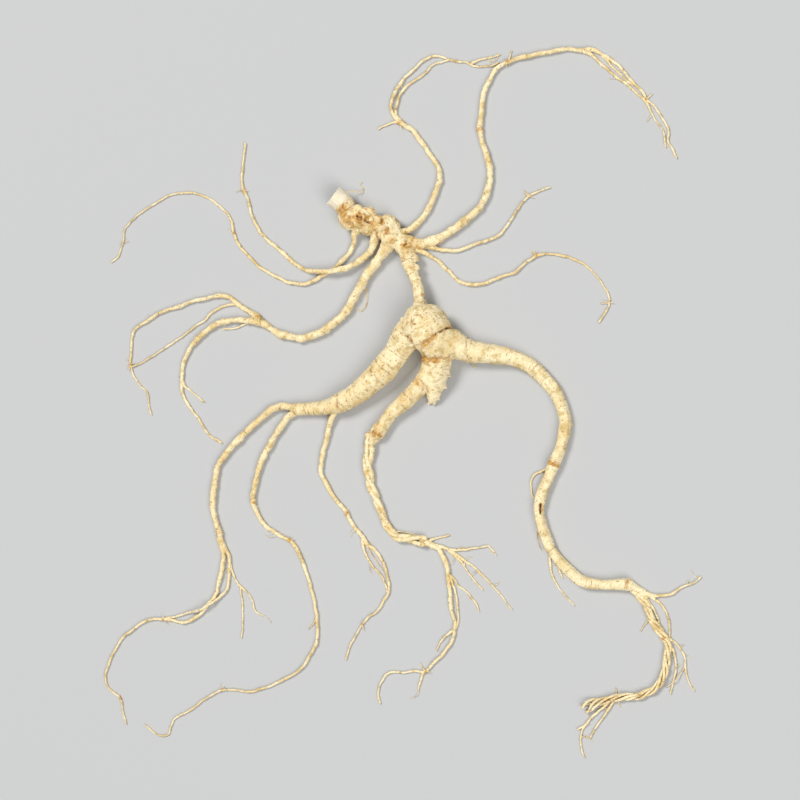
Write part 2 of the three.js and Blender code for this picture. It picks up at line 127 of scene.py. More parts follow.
# Wrinkles of each thick root: how deep and how far apart the rings are, how deep the lengthwise ones are,
# and how deep the skin is crinkled
WRINKLES = {
    "body": (0.34, (1.3, 2.8), 0.08, 0.06),
    "neck": (0.3, (1, 1.9), 0.14, 0.12),
    "left_leg": (0.36, (1.2, 2.6), 0.12, 0.06),
    "middle_leg": (0.32, (1.2, 2.4), 0.12, 0.08),
    "right_leg": (0.26, (1.1, 2.4), 0.16, 0.05),
    "stub": (0.08, (1.2, 2.2), 0.16, 0.05),
    "rhizome": (0.2, (1.3, 2.2), 0.08, 0.2),
    "hub": (0.2, (1.2, 2.2), 0.12, 0.12),
}

# Knobs of the rhizome and smaller bumps on it and on the neck: x, y, radius and height
RHIZOME_KNOBS = [
    (-30.4, 50.9, 5, 4.5), (-24.6, 50, 4.6, 4.8), (-23.4, 47.6, 4.2, 3.8), (-15.4, 47, 4.3, 4.2),
    (-14.1, 42, 4.1, 3.7), (-9.8, 38.8, 3.4, 3), (-27, 53.4, 2.3, 6), (-22.4, 52.2, 2.4, 5.4),
    (-31.6, 48.8, 2, 4.2), (-28.4, 46.4, 2.2, 3.2), (-17.6, 43.6, 2.2, 4.6), (-12.6, 46.8, 2.2, 4.4),
    (-26.4, 48.8, 2.4, 6.8), (-9.2, 36.2, 1.9, 3.2), (-8.2, 33.2, 1.6, 3.4), (-6.9, 30.2, 1.5, 3.9),
    (-5.9, 27, 1.4, 4.4), (-4.6, 33.8, 1.5, 3.6), (-3.9, 30.2, 1.3, 4.1), (-4.8, 24.2, 1.3, 5),
    (-2.9, 25.4, 1.2, 5), (-3.9, 21.2, 1.2, 5.6),
]

# Bumps on the legs: x, y, radius and height
LEG_BUMPS = [(17, -6, 1, 2), (54.3, -29.6, 0.9, 2.2), (76.6, -88.2, 0.7, 2.2)]

# Torn fibres at the end of the body, between the legs: x, y, height and radius at both ends
TORN_FIBRES = [
    ((2, -18, 1.6, 1.4), (1.9, -22.3, 0.9, 0.4)), ((0.8, -18, 1.5, 1.2), (-0.4, -21.9, 0.8, 0.4)),
    ((3.4, -16.5, 1.9, 1.2), (3.9, -20.6, 1.1, 0.35)), ((5, -12.5, 2.6, 1.6), (7, -16.2, 1.9, 0.35)),
    ((6.2, -8.6, 3, 1.8), (8.8, -11.8, 2.3, 0.4)), ((1.4, -17.5, 3, 1), (0.9, -21.8, 2, 0.35)),
    ((3.4, -14, 4, 1), (4.7, -18.4, 3, 0.35)),
]

# Creases that the skin folds into: width, depth, how dark (the crease's brown and painted shade in its
# fold), and the points, seen from above
CREASES = [
    (0.34, 0.5, 0.95, [(12.4, 7.4), (10.6, 5.9)]),
    (0.34, 0.4, 0.7, [(10.6, 5.9), (9.5, 4.9), (7, 2.7)]),
    (0.4, 0.2, 0.3, [(7, 2.7), (5, 0.8), (1.8, -0.9)]),
    (0.4, 0.2, 0.4, [(1, -2.4), (3.4, -2.6), (5.4, -2)]),
    (0.4, 0.3, 0.3, [(0, -5), (3, -5.9), (6.5, -6.2), (10, -5.6)]),
    (0.35, 0.2, 0.35, [(0, -7.4), (3, -8.2), (6, -8.4)]),
    (0.4, 0.2, 0.6, [(-0.6, 10.2), (1.2, 10.5), (2.2, 9.2)]),
    (0.4, 0.2, 0.55, [(-2.4, 8.8), (-1.8, 7.2), (-0.4, 6.6)]),
    (0.5, 0.3, 0.5, [(-10.6, 5.8), (-6.8, 3.6), (-3, 1)]),
    (0.3, 0.2, 0.35, [(-12.2, 3.4), (-8.8, 1.6), (-5.6, -1)]),
    (0.5, 0.35, 0.5, [(-21.8, -8.2), (-19.6, -11), (-17, -14.4)]),
    (0.45, 0.3, 0.45, [(-36, -15.6), (-35.6, -19.6), (-34.6, -24)]),
    (0.4, 0.3, 0.5, [(16.5, 2.6), (17.2, -2), (16.9, -7)]),
    (0.5, 0.4, 0.6, [(-2.6, -12.4), (-0.4, -15), (0.8, -18)]),
    (0.35, 0.22, 0.4, [(-29.6, -12.2), (-28.4, -16), (-26.4, -20.4)]),
    # A deep slit between two strands of the right leg, painted dark as painted shade in the gap
    (0.42, 1.2, 1.3, [(44, -60.6), (43.9, -62), (44, -63.6)]),
    (0.6, 0.25, 0.7, [(-22, -30.6), (-19.8, -32.8), (-18, -34.6)]),
    (0.9, 1.2, 0.1, [(-3.9, -0.4), (-3, -1.8), (-1.8, -3.6)]),
    (0.6, 0.12, 0.4, [(46.4, -44.3), (50.6, -46.1)]),
    (0.6, 0.7, 2, [(-26, 50.2), (-25.3, 49.9)]),
    (0.5, 0.5, 1.3, [(-17.2, 48.4), (-16.9, 47.7)]),
]

# Golden-brown patches: width, how brown, and the points, seen from above
PATCHES = [
    (1.1, 0.8, [(6.4, 1.8), (4.2, 0.2), (1.4, -1.2)]), (1.4, 1, [(0.4, -5.4), (3.2, -5.9), (5.6, -6.1)]),
    (0.8, 0.6, [(6, -6.2), (10, -5.6)]), (0.8, 0.65, [(-5, 2.6), (-2.6, 0)]),
    (1.5, 0.4, [(-4, 10.4), (-3.2, 8)]), (0.9, 0.65, [(-4.4, -13.2), (-1.8, -15.8)]),
    (3.4, 0.26, [(-6, -17), (-18, -30)]),
    (1.5, 0.35, [(46.6, -44.4), (50.4, -46)]), (0.8, 0.5, [(-3.4, 16.5), (1, 16.5)]),
    (2.7, 1, [(-32.4, 52.8), (-29.6, 49.8)]), (1.7, 0.85, [(-22.4, 49.8), (-21.8, 47.6)]),
    (1.1, 0.7, [(-20.4, 44.6), (-19.2, 42.8)]), (1.5, 0.55, [(-8.6, 38.4), (-3.6, 38.8)]),
    (1.3, 0.5, [(-15.4, 44.4), (-13, 43)]),
]

# Scars that old stems left on the rhizome: x, y, radius, depth and how brown
SCARS = [
    (-31.2, 54.8, 1.7, 0.6, 0.7), (-25.5, 50, 1.5, 1.1, 1.1), (-21.9, 49.4, 1.7, 0.8, 0.8),
    (-20.6, 44.4, 1.5, 0.7, 0.7), (-14.8, 44.5, 1.5, 0.9, 0.85), (-17.3, 48.2, 1.1, 0.8, 0.9),
    (-7.2, 38.4, 1.2, 0.6, 0.7), (-29.6, 48, 1.3, 0.5, 0.5), (-11.4, 41.2, 1.1, 0.5, 0.5),
]

# Side roots and rootlets: the radius at both ends, and the points, x, y and lift, along the middle line
UPPER_ROOTLETS = [
    # Side roots on the left of the rhizome
    (0.95, 0.28, [
        (-29.3, 47.5, 2.6), (-29.8, 44.2, 1.6), (-30.4, 41.6, 0.6), (-31.7, 38.7), (-33.7, 36.3),
        (-38.2, 32.2), (-44.3, 29.2), (-47.9, 27.5), (-51.4, 26.6), (-55, 27), (-60, 28.9), (-65.7, 31.8),
        (-70.7, 35.4), (-75.7, 40.4), (-79.3, 45), (-81.1, 48.6), (-81.8, 52.9), (-83.6, 56.1),
        (-87.1, 59.6), (-92.1, 63.2), (-97.1, 65.4), (-102.9, 65.9), (-109.3, 65.1), (-115.7, 62.1),
        (-121.4, 58.9), (-126, 55.7), (-128.1, 52.7), (-128.5, 49.3), (-129.3, 46), (-130.7, 42.3),
        (-134.3, 39.5),
    ]),
    (1.45, 0.4, [
        (-21.4, 46, 2), (-21.4, 41.9, 1.2), (-22.8, 39, 0.5), (-25.4, 36.2), (-29, 33.6, 0.6),
        (-33.4, 31.8, 1.6), (-39.3, 31, 2), (-44.3, 31.1, 1.7), (-50.7, 32.5, 0.4), (-55.7, 35.7),
        (-61.4, 40.4), (-66.4, 45), (-70.7, 50), (-73.2, 55.7), (-75, 61.4), (-76.4, 65), (-77.5, 69.3),
        (-77.3, 75), (-76.4, 80.7), (-76.2, 84.5),
    ]),
    (1.95, 1.25, [
        (-15, 41, 1.2), (-18.1, 37, 0.6), (-22.7, 31.5), (-26.7, 26.1), (-30.1, 20.1), (-33.5, 14.8),
        (-38.3, 10.8), (-43, 7.8), (-50, 5.6), (-57.1, 6.4), (-62.1, 8.2), (-67.1, 11.4), (-70.7, 14.3),
    ]),
    (1.05, 0.3, [
        (-68.5, 12.6), (-72.5, 16), (-80, 21.1), (-83.6, 23.4), (-87.9, 23.7), (-93.6, 23), (-100, 21.6),
        (-106.4, 19.6), (-113.6, 17.5), (-119.3, 14.3), (-123.6, 11.1), (-124.4, 7.9), (-124.6, 2.9),
        (-124.9, -1.4), (-123.6, -5.7), (-120.7, -10), (-117.1, -13.9), (-116.9, -18.3), (-115.5, -22.3),
    ]),
    (0.5, 0.3, [
        (-78.5, 20.2), (-81.5, 20.1), (-85.7, 19.6), (-90, 17.1), (-94.3, 13.6), (-101.4, 9.3),
        (-108.6, 4.6), (-115.7, 0.7), (-121.4, -2.1), (-125, -2.9, 0.5),
    ]),
    (1.4, 0.42, [
        (-68.5, 12.8), (-73.6, 13.2), (-80, 13.9), (-85.7, 13.2), (-91.4, 10.4), (-95.7, 6.8), (-99.3, 2.9),
        (-101.4, -1.4), (-102.3, -6.4), (-102.5, -11.4), (-101.4, -15.7), (-99, -19.5), (-96, -23.3),
        (-90.7, -30.9), (-85, -34.3),
    ]),
    (0.5, 0.28, [(-102.3, -9), (-101, -11.6), (-97.9, -13.9), (-92.9, -17.9)]),
    (0.4, 0.28, [(-74, 13), (-77.9, 11.6), (-81.5, 10.7), (-85.5, 10.6)]),
    # Side roots on the right of the rhizome
    (1.15, 0.95, [
        (-14, 44.5, 2), (-10.7, 44.8, 1.5), (-7.7, 45.5, 0.8), (-5, 47.3), (-2.3, 50), (0.3, 53.7), (2, 57),
        (3.4, 61.4), (4.3, 65.9), (3.2, 70.5), (0, 75), (-3.6, 80.5), (-6.4, 84.1), (-10, 86.4), (-12, 88),
    ]),
    (0.75, 0.33, [
        (-10.5, 86.8), (-12.5, 88.5), (-14.5, 90.7), (-15.5, 93.5), (-15.3, 96.2), (-13.1, 101),
        (-10.6, 104.4), (-7, 107.3), (-3.8, 110), (-1.1, 111.9), (1.6, 112.6), (4.8, 112.1), (7.1, 111.2),
        (10.7, 109.8), (14.4, 108.9), (18, 107.1), (21.6, 107.1), (25.7, 107.3), (28, 108.2),
    ]),
    (0.7, 0.33, [
        (-10.5, 86.8), (-11.8, 88.6), (-13, 90.7), (-13.2, 94.4), (-12.4, 97.5), (-10.2, 100.3),
        (-7.5, 102.6), (-4.3, 104.4), (-1.5, 106.4), (1.6, 109.4), (4.4, 110.3), (8.5, 110.6),
    ]),
    (0.45, 0.28, [(16, 108.2), (21.2, 110), (25.7, 110.5), (28.5, 111.2)]),
    (0.5, 0.28, [(-11.5, 87.6), (-15.6, 87.8), (-19.3, 86.6), (-20.9, 85.5)]),
    (1.6, 0.8, [
        (-13, 42, 1.5), (-10, 41.5, 1.2), (-4, 40.2, 0.4), (3.3, 41.2), (8.8, 43.8), (14.3, 47.4),
        (19.3, 51.6), (22.5, 56.3), (23.9, 61.4), (24.1, 66.8), (23, 72.3), (21.4, 77.7), (20.6, 82.3),
        (20.7, 88.6), (21.8, 95), (23.6, 100), (26.4, 104.5), (31.4, 107.7), (39.5, 109.4), (48.6, 110.5),
        (55.9, 110.7), (62.3, 109.5),
    ]),
    (0.75, 0.36, [
        (61, 109.8), (65, 109.5), (68.8, 107), (72.9, 104.3), (75.8, 101.3), (77.9, 98.4), (80.8, 95.1),
        (83.3, 92.2), (84.6, 89.3), (86.7, 87.2), (89.6, 83.6), (91.9, 79.3), (92.9, 76.3), (92.7, 73),
        (94.2, 69.3), (95.8, 66.1),
    ]),
    (0.65, 0.32, [
        (61, 109.5), (64.2, 107.6), (68.3, 103.8), (72.1, 100.1), (76.3, 96.3), (79.6, 93), (82.5, 90.1),
        (84.4, 88.3), (86.3, 84.7), (88.3, 80.9), (90.4, 77.6), (91, 74.3), (91.7, 70.5),
    ]),
    (0.45, 0.32, [(67.5, 107.8), (70.8, 104), (74.6, 99.7), (77.5, 96.8), (80.8, 94.6)]),
    (0.95, 0.34, [
        (-9, 40, 1.5), (-4.5, 39.4, 1), (0, 38.6, 0.3), (5.9, 37.2), (11.4, 36.4), (16.8, 38.2), (24.1, 40),
        (27.7, 41.8), (31.4, 45.9), (35, 50.9), (39.5, 55.7), (43.2, 57.3), (47.7, 58.6),
    ]),
    (0.9, 0.32, [
        (-8, 37.5, 1.5), (-4.5, 37.2, 1), (-1.4, 36, 0.3), (3.2, 33), (7.7, 28.6), (12.3, 24.5), (16.8, 23),
        (21.4, 23.2), (26.8, 25), (34.1, 27.3), (39.5, 31.4), (42.3, 33), (48.6, 33), (54.1, 31.8),
        (59.5, 29.1), (64.1, 25), (67.7, 20), (69.5, 15.9), (69.5, 12.3), (65.5, 6.4),
    ]),
]
LOWER_ROOTLETS = [
    # Rootlets of the left leg
    (1.45, 1.1, [
        (-49.2, -21.9), (-55.2, -21.4), (-59.2, -20.9), (-62.2, -21.3), (-66.7, -23.8), (-70.2, -26.7),
        (-74.2, -30), (-78.7, -34.1), (-83.2, -38.8), (-86.6, -44.4), (-88.1, -51), (-88.5, -58.8),
        (-87.2, -64), (-85.5, -69.2), (-84.2, -74),
    ]),
    (0.9, 0.32, [
        (-85.8, -71), (-84.6, -75), (-84.1, -78.7), (-84.6, -83.9), (-86.3, -90), (-88, -94.3),
        (-90.7, -97.4), (-94.1, -100.9), (-100.2, -104), (-105.4, -103), (-109.8, -102.6), (-115, -103),
        (-119.8, -105.2), (-126.3, -109.6), (-129.8, -114.3), (-132.8, -120), (-134.1, -124.3),
        (-133.3, -128.3), (-129.3, -131.7), (-127.2, -133.5), (-126.7, -137.8), (-124.6, -143.5),
    ]),
    (0.7, 0.36, [
        (-85.8, -71), (-82.8, -76.1), (-81.5, -79.5), (-81.6, -87.4), (-82.8, -91.7), (-86.3, -94.8, 0.5),
        (-88.9, -96.8, 1.3), (-91.5, -98.2, 1.7), (-94.1, -99.1, 1.2), (-100.2, -100.6, 0.2),
        (-105.4, -101.7), (-109.4, -102.5),
    ]),
    (0.45, 0.28, [
        (-81.5, -79.5), (-80.7, -83), (-79.3, -87), (-77.2, -90), (-76.3, -94.3), (-75.9, -102.2),
        (-76.3, -110),
    ]),
    (0.4, 0.28, [(-78, -89), (-74.1, -92.6), (-72, -95.7), (-70.2, -99.6), (-67.2, -101.3)]),
    (1.4, 0.28, [
        (-49.4, -22.5), (-53.4, -22.9), (-56.9, -24.9), (-59.4, -27.6), (-61.7, -31.1), (-64.4, -35.5),
        (-67.9, -41.4), (-70.1, -47.5), (-71.2, -53.6), (-71.6, -57.9), (-69.6, -61.8), (-66.3, -67),
        (-61.1, -70.4), (-56.7, -72.6), (-53.3, -76.1), (-50.2, -83), (-47.6, -90.4), (-46.1, -97),
        (-45.3, -103.9), (-45.4, -110.9), (-47.6, -116.1), (-50.7, -120.4), (-55, -123.9), (-60.2, -126.5),
        (-68.9, -129.6), (-75, -130.2), (-84.1, -129.6), (-90.7, -133), (-97.6, -137.8), (-103.7, -140.9),
        (-105.4, -143.9), (-106.7, -147), (-110.7, -147.4), (-116.7, -143.5),
    ]),
    (1.1, 0.78, [
        (-36.1, -20.5, 1.5), (-37.6, -24.5, 1.1), (-40.1, -29, 0.3), (-41.6, -35), (-43.1, -40),
        (-43.6, -45), (-43.2, -47.5), (-41.6, -51.2), (-37.6, -56.8), (-33.6, -62), (-32, -64.8),
        (-28.8, -68.8), (-24.8, -74),
    ]),
    (0.7, 0.32, [
        (-26.8, -72), (-24, -75), (-22, -76.4), (-19.6, -79.2), (-17.6, -83.2), (-16.6, -87.2),
        (-16.6, -92.8), (-18, -95.2), (-20.4, -99.2), (-25.2, -102.8), (-26.8, -104.4), (-29.2, -108),
        (-31.6, -112.8), (-33.6, -118),
    ]),
    (0.5, 0.3, [
        (-26.8, -72), (-26.6, -75.2), (-24.8, -79.2), (-22, -83.2), (-19.2, -86.6), (-17.4, -90.5),
        (-16.8, -93),
    ]),
    # Rootlets of the middle leg
    (1.25, 1.1, [(-23.4, -36.5), (-24.1, -34), (-24.4, -31.6)]),
    (1.05, 0.32, [
        (-3, -73.4), (1.5, -75), (4.4, -77.6), (6.8, -83.2), (7.2, -88), (8.4, -93.6), (8.8, -99.2),
        (10, -104), (9.2, -108.8), (6, -114.4), (1.2, -119.2), (-1.6, -122), (-6, -122), (-10, -122.4),
        (-16.4, -122.8), (-19.2, -125.6), (-20.6, -129.6), (-19.6, -134.4),
    ]),
    (0.5, 0.32, [(7.1, -85.5), (8.9, -88.8), (10.8, -96), (11.2, -102.4), (10, -106.5)]),
    (0.45, 0.28, [(9.6, -106.5), (6, -108.8), (2.4, -114.4)]),
    (0.45, 0.28, [(-2.6, -121.8), (-3.6, -124.8), (-4.8, -129.2)]),
    (0.45, 0.28, [(7, -85.5), (9.2, -87.4), (12, -91), (15.6, -93.6), (18, -96.8), (19.2, -100)]),
    (0.8, 0.55, [(-3, -73.4), (2, -74.8), (6.8, -76.4), (9.4, -78.8)]),
    (0.5, 0.28, [
        (5, -75.8), (9, -77), (13.2, -76.8), (18.8, -76), (22.8, -75.4), (24.4, -76.8), (26, -79.2),
    ]),
    (0.6, 0.28, [(7.6, -77), (12.4, -80), (18, -84), (23.6, -89.2), (27.6, -94), (32, -99.2)]),
    (0.45, 0.28, [(9, -78), (13, -82.2), (16, -86.4), (20.8, -92)]),
    (0.45, 0.28, [(-2, -73.8), (2, -72.6), (8, -71.2)]),
    # Rootlets of the right leg
    (0.75, 0.3, [
        (81.5, -92.8), (84.6, -94), (88.2, -93.9), (91.5, -93.7), (94.9, -91.7), (99.6, -89.6),
        (102.7, -87.4),
    ]),
    (0.55, 0.32, [(82, -93.2), (84.9, -95), (87.7, -96.7), (89.6, -100), (90.7, -104.1), (90.8, -109.8)]),
    (0.5, 0.32, [(81.5, -93.5), (85.3, -99.4), (86.8, -102.4), (87.4, -106)]),
    (0.5, 0.28, [
        (88.2, -107.6), (91, -109.8), (94.4, -113.1), (96.3, -116.5), (96.5, -121.2), (97.5, -124.6),
        (99.6, -128.4),
    ]),
    (0.45, 0.28, [(89.8, -111), (92.5, -114.6), (92.9, -121.2), (91.6, -125.5), (90.8, -129.6)]),
    (0.5, 0.28, [
        (70, -131), (66.3, -134.1), (62.5, -137.4), (59.9, -140.8), (58, -143.1), (57.8, -149.8),
        (59, -152.7),
    ]),
    (0.45, 0.28, [(71, -131), (68, -134.8), (65.3, -138.6), (62.6, -142.4), (61, -145.8)]),
    (0.4, 0.28, [(60.4, -140), (58.7, -141.4), (56, -142.7)]),
    (0.4, 0.28, [(47, -46.5), (44.4, -47.8), (40.4, -49.6), (39.4, -53.5), (40, -57), (42, -59)]),
    (0.45, 0.28, [(47, -77), (46.4, -81), (47.4, -86.5), (49.6, -90.9), (52.6, -94.3), (55.7, -97.8)]),
    (0.4, 0.28, [(49.5, -80.5), (49.8, -84), (51.3, -87.8)]),
]

# Bundles of wound strands: strand radius and offset from the middle line at both ends, number of strands,
# turns and the points
BUNDLES = [
    ((1, 0.8), (1.5, 0.85), 3, 2.5, [
        (-19, -30), (-21.2, -33), (-23.2, -36), (-24, -40), (-24.4, -44), (-24.1, -48), (-23, -52),
        (-21.5, -56), (-20, -60), (-18.3, -64), (-16.5, -67.5), (-13.5, -71), (-9.5, -72.3), (-4, -73),
        (-1, -73.8),
    ]),
    ((0.66, 0.4), (0.85, 0.95), 4, 4, [
        (77.5, -91), (80.6, -95), (83, -98.4), (84.2, -102.2), (86.3, -105.5), (88.7, -108.9),
        (90.1, -111.7), (89.8, -116.5), (89.4, -120.3), (88.2, -123.6), (85.3, -127.2), (82.5, -128.9),
        (79.6, -130.3), (74.9, -130.5), (71, -131), (68.2, -131.5), (64.9, -132.4), (61.5, -133.6),
        (58.7, -135.5),
    ]),
]

# Swollen, browned nodes where roots branch or turn, seen from above
NODES = [
    (-53.2, -22.2), (48.3, -45.2), (76, -90.2), (-20.4, -32.6), (-80.9, 48.2), (-76.4, 65), (-70.5, 14.2),
    (-128.9, 47.5), (-11.5, 87.7), (10.7, 109.8), (20.6, 82.3), (31.4, 107.7), (84.6, 89.3), (39.5, 55.7),
    (42.3, 33), (69.5, 14), (-86, -69), (-109, -102.6), (-127.4, -133.4), (-71.6, -57.9), (-56.7, -72.6),
    (-84.1, -129.6), (-33.4, -62.4), (-26.8, -104.4), (-1.6, -122), (89, -109.4), (71.5, -130.8),
    (-2, -73.6), (-124.8, -2),
]
NODE_SWELL = 0.34
NODE_REACH = 0.9
NODE_HEIGHT = 0.26
NODE_STAIN = 0.7

# Short spurs, fibres and curled hairs: the radius at both ends, and the points, x, y and lift
HAIRS = [
    (0.24, 0.14, [(-27.2, 25, 1), (-25.4, 23), (-25.2, 19.5), (-26, 16.5), (-28, 15), (-29.9, 17.2, 0.4)]),
    (0.24, 0.12, [
        (-33.4, 58.4, 5), (-32, 61, 3.6), (-29.6, 61.6, 1.8), (-27.4, 61.4, 0.6), (-26.8, 63), (-28.4, 64.1),
        (-27, 65.6),
    ]),
    (0.36, 0.2, [(16.4, -5, 1), (17.2, -7.6, 0.2), (18.4, -8.8)]),
    (0.36, 0.2, [(52.8, -28.2, 1.4), (54.8, -29.8, 0.8), (55.4, -31.8)]),
    (0.3, 0.18, [(39.8, 55.4, 0.3), (38.4, 57, 0.2), (37.4, 58)]),
    (0.3, 0.18, [(42.4, 32.8, 0.2), (41, 34.2, 0.1), (39.9, 35.2)]),
    (0.28, 0.18, [(69.6, 13.6, 0.2), (68, 13.7, 0.1), (66.4, 13.4)]),
    (0.3, 0.2, [(84.4, 89, 0.2), (85.8, 90.4, 0.1), (87, 91.3)]),
    (0.3, 0.18, [(31.2, 107.4, 0.4), (32.2, 110, 0.2), (33, 112.4)]),
    (0.3, 0.16, [(-45.6, -102.6, 0.1), (-46.7, -104.3), (-49, -106.6)]),
    (0.3, 0.18, [(-2, -121.8, 0.1), (-3, -120.4), (-3.7, -118.9)]),
    (0.26, 0.16, [(71.3, -131.2, 0.4), (71, -129.2, 0.2), (70.9, -127.2)]),
    (0.26, 0.16, [(71.2, -130.8, 0.4), (71.7, -132.6, 0.2), (72.1, -134.4)]),
    (0.28, 0.14, [(84.2, -101.6, 0.3), (82.6, -103.6, 0.1), (81.4, -105), (80, -107.2)]),
    (0.28, 0.14, [(43.8, -67.4, 0.6), (42, -70, 0.1), (41.5, -72), (42.2, -75), (43.3, -77.4)]),
    (0.26, 0.14, [(96.4, -119.2, 0.2), (95, -121.6), (92.6, -124.8, 1), (90.6, -126.2, 0.2), (89, -127.2)]),
    (0.3, 0.16, [(-14.6, -69.4, 0.6), (-11, -69.8, 0.2), (-7, -70.6), (-3.4, -71.9, 0.4)]),
    (0.24, 0.14, [(-26.4, -73.4, 0.6), (-23.6, -77.2, 0.2), (-21.2, -80.8, 0.1), (-18.6, -84.4, 0.4)]),
]

# Short stubs that stand out of the nodes, and stray fine hairs along the rootlets
NODE_STUBS = 2
STUB_LENGTH = (1.1, 2.4)
STUB_RADII = (0.22, 0.12)
STUB_START = 0.4  # from the middle of the node
STUB_LIFT = 0.5
STRAY_HAIRS = 46
STRAY_LENGTH = (2.2, 6)
STRAY_RADII = (0.14, 0.08)
STRAY_STRIDES = 5
BARE_FOOT = 0.25  # share of a rootlet, from its foot, that has no hairs

# How the marks of thick roots show: heights and stains are shares of the depth and the brown listed above
# How much ring grooves darken by their depth: partly brown, partly painted shade
GROOVE_SHADE_AND_BROWN = 1.7
LUMPY_RADIUS = 5  # from this radius on, large lumps are full
CREASE_HALO = 2.5  # width of the stain along a crease, by the width of the crease
CREASE_STAIN = 0.5
RIM_HEIGHT = 0.25
RIM_STAIN = 0.5
BOWL_STAIN = 0.8
WARTS = 90  # on each piece
AREA_STAIN = 0.14
RHIZOME_STAIN = 0.42
MOST_BROWN = 1.2

# The cut end of the stem stub: where it turns from pale to brown, and its hollow
PALE_SPAN = (4, 7)
CUT_REACH = 0.9
CUT_DEPTH = 1.1
CUT_HOLLOW = (0.8, 3)  # from the hollow's floor to its edge

# Shape and stains of thin roots
FOOT_FLARE = 0.3
FOOT_REACH = 4
WRINKLE_TURN = 1.6  # how fine the wrinkles are round a rootlet
LEAST_TIP = 0.9
HAIR_TIP = 0.5
ROOTLET_STAIN = 0.35
ROOTLET_NODE_STAIN = 0.8
BUNDLE_HEIGHT = 0.6  # by its width
FAN = 0.9  # how much further apart the strands are at the end

# First numbers of rootlets and strands, far enough apart that no two are shaped alike
LOWER_INDEX = 40
BUNDLE_INDEX = 90
BUNDLE_INDEX_STEP = 10

# Skin colours, as light that comes back from it
CREAM = (0.95, 0.83, 0.54, 1)
STRAW = (0.82, 0.63, 0.31, 1)
OLIVE = (0.58, 0.42, 0.15, 1)
TAN = (0.6, 0.4, 0.17, 1)
FRECKLE = (0.26, 0.15, 0.05, 1)
# Colours of creases and grooves: partly their brown and soil, partly painted shade
UMBER_AND_SHADE = (0.3, 0.15, 0.05, 1)
GOLDEN = (0.42, 0.2, 0.04, 1)
AMBER = (0.68, 0.39, 0.1, 1)
DARK_SOIL_AND_SHADE = (0.1, 0.042, 0.016, 1)
PITH = (0.85, 0.78, 0.62, 1)

# How the skin's marks and its fine relief show
SEAM_FADE = 0.3  # how far lines and flecks fade where two roots meet
PALENESS = 0.85  # of the cut end
SKIN_SPECULAR = 0.35
RELIEF_STRENGTH = 0.6
RELIEF_DEPTH = 0.25
GRAIN_RELIEF = 0.5
LINE_RELIEF = 1.2
DASH_RELIEF = 0.5

FLOOR_COLOUR = (0.5, 0.51, 0.525, 1)
FLOOR_ROUGHNESS = 0.9
FLOOR_SIZE = 6


# Curves and tubes

def smooth_line(rows):
    """Rows on the smooth curve through the given rows, whose first three columns are the place."""
    rows = np.asarray(rows, float)
    padded = np.vstack([2 * rows[0] - rows[1], rows, 2 * rows[-1] - rows[-2]])
    share = np.linspace(0, 1, CURVE_SAMPLES, endpoint=False)[:, None]
    pieces = []
    for before, start, end, after in zip(padded, padded[1:], padded[2:], padded[3:]):
        gap_in, gap, gap_out = (
            math.sqrt(np.linalg.norm((b - a)[:3])) for a, b in ((before, start), (start, end), (end, after))
        )
        leave = ((start - before) / gap_in - (end - before) / (gap_in + gap) + (end - start) / gap) * gap
        arrive = ((end - start) / gap - (after - start) / (gap + gap_out) + (after - end) / gap_out) * gap
        bend = 3 * (end - start) - 2 * leave - arrive
        twist = 2 * (start - end) + leave + arrive
        pieces.append(start + share * leave + share**2 * bend + share**3 * twist)
    pieces.append(rows[-1:])
    return np.vstack(pieces)


def evenly(rows, step):
    """Rows of x, y, z and radius spaced evenly along the smooth curve, and how far along it each is."""
    dense = smooth_line(rows)
    along = np.concatenate([[0], np.cumsum(np.linalg.norm(np.diff(dense[:, :3], axis=0), axis=1))])
    count = max(FEWEST_RINGS, round(along[-1] / step) + 1)
    wanted = np.linspace(0, along[-1], count)
    return np.column_stack([np.interp(wanted, along, column) for column in dense.T]), wanted


def unit(vectors):
    return vectors / np.linalg.norm(vectors, axis=-1, keepdims=True)


def frames(middles):
    """The directions ahead, across and up at each point of a middle line."""
    ahead = unit(np.gradient(middles, axis=0))
    across = unit(np.cross(ahead, (0, 0, 1)))
    return ahead, across, np.cross(across, ahead)


def tube(middles, radii):
    """A closed tube with one ring of points for each row of radii."""
    rings, sides = radii.shape
    angle = np.linspace(0, math.tau, sides, endpoint=False)[None, :, None]
    _, across, up = frames(middles)
    outward = np.cos(angle) * across[:, None] + np.sin(angle) * up[:, None]
    points = (middles[:, None] + radii[:, :, None] * outward).reshape(-1, 3)
    points = np.vstack([points, middles[:1], middles[-1:]])
    ring, side = np.meshgrid(np.arange(rings - 1) * sides, np.arange(sides), indexing="ij")
    following = (side + 1) % sides
    corners = (ring + side, ring + sides + side, ring + sides + following, ring + following)
    faces = np.stack(corners, axis=-1).reshape(-1, 4).tolist()
    start, end = rings * sides, rings * sides + 1
    last = (rings - 1) * sides
    for side in range(sides):
        following = (side + 1) % sides
        faces.append([start, side, following])
        faces.append([end, last + following, last + side])
    return points, faces


def round_tube(middles, radius, sides):
    return tube(middles, np.repeat(radius[:, None], sides, axis=1))


def rounding(along, radius, start=False):
    """Shares of the radius that round off the end of a root, and its start where that is asked for."""
    share = np.ones_like(along)
    to_end = along[-1] - along
    for distance in (along, to_end) if start else (to_end,):
        inset = np.clip(1 - distance / radius, 0, DEEPEST_INSET)
        share *= np.sqrt(1 - inset**2)
    return share


# Noise and falloff

def noise_at(points, *layers, base=0):
    """A base and layers of smooth noise on top of it, each a height, how fine it is and a shift."""
    total = base
    for height, fineness, shift in layers:
        shifted = np.asarray(points) * fineness + shift
        total = total + height * np.array([noise.noise(point) for point in shifted.tolist()])
    return total


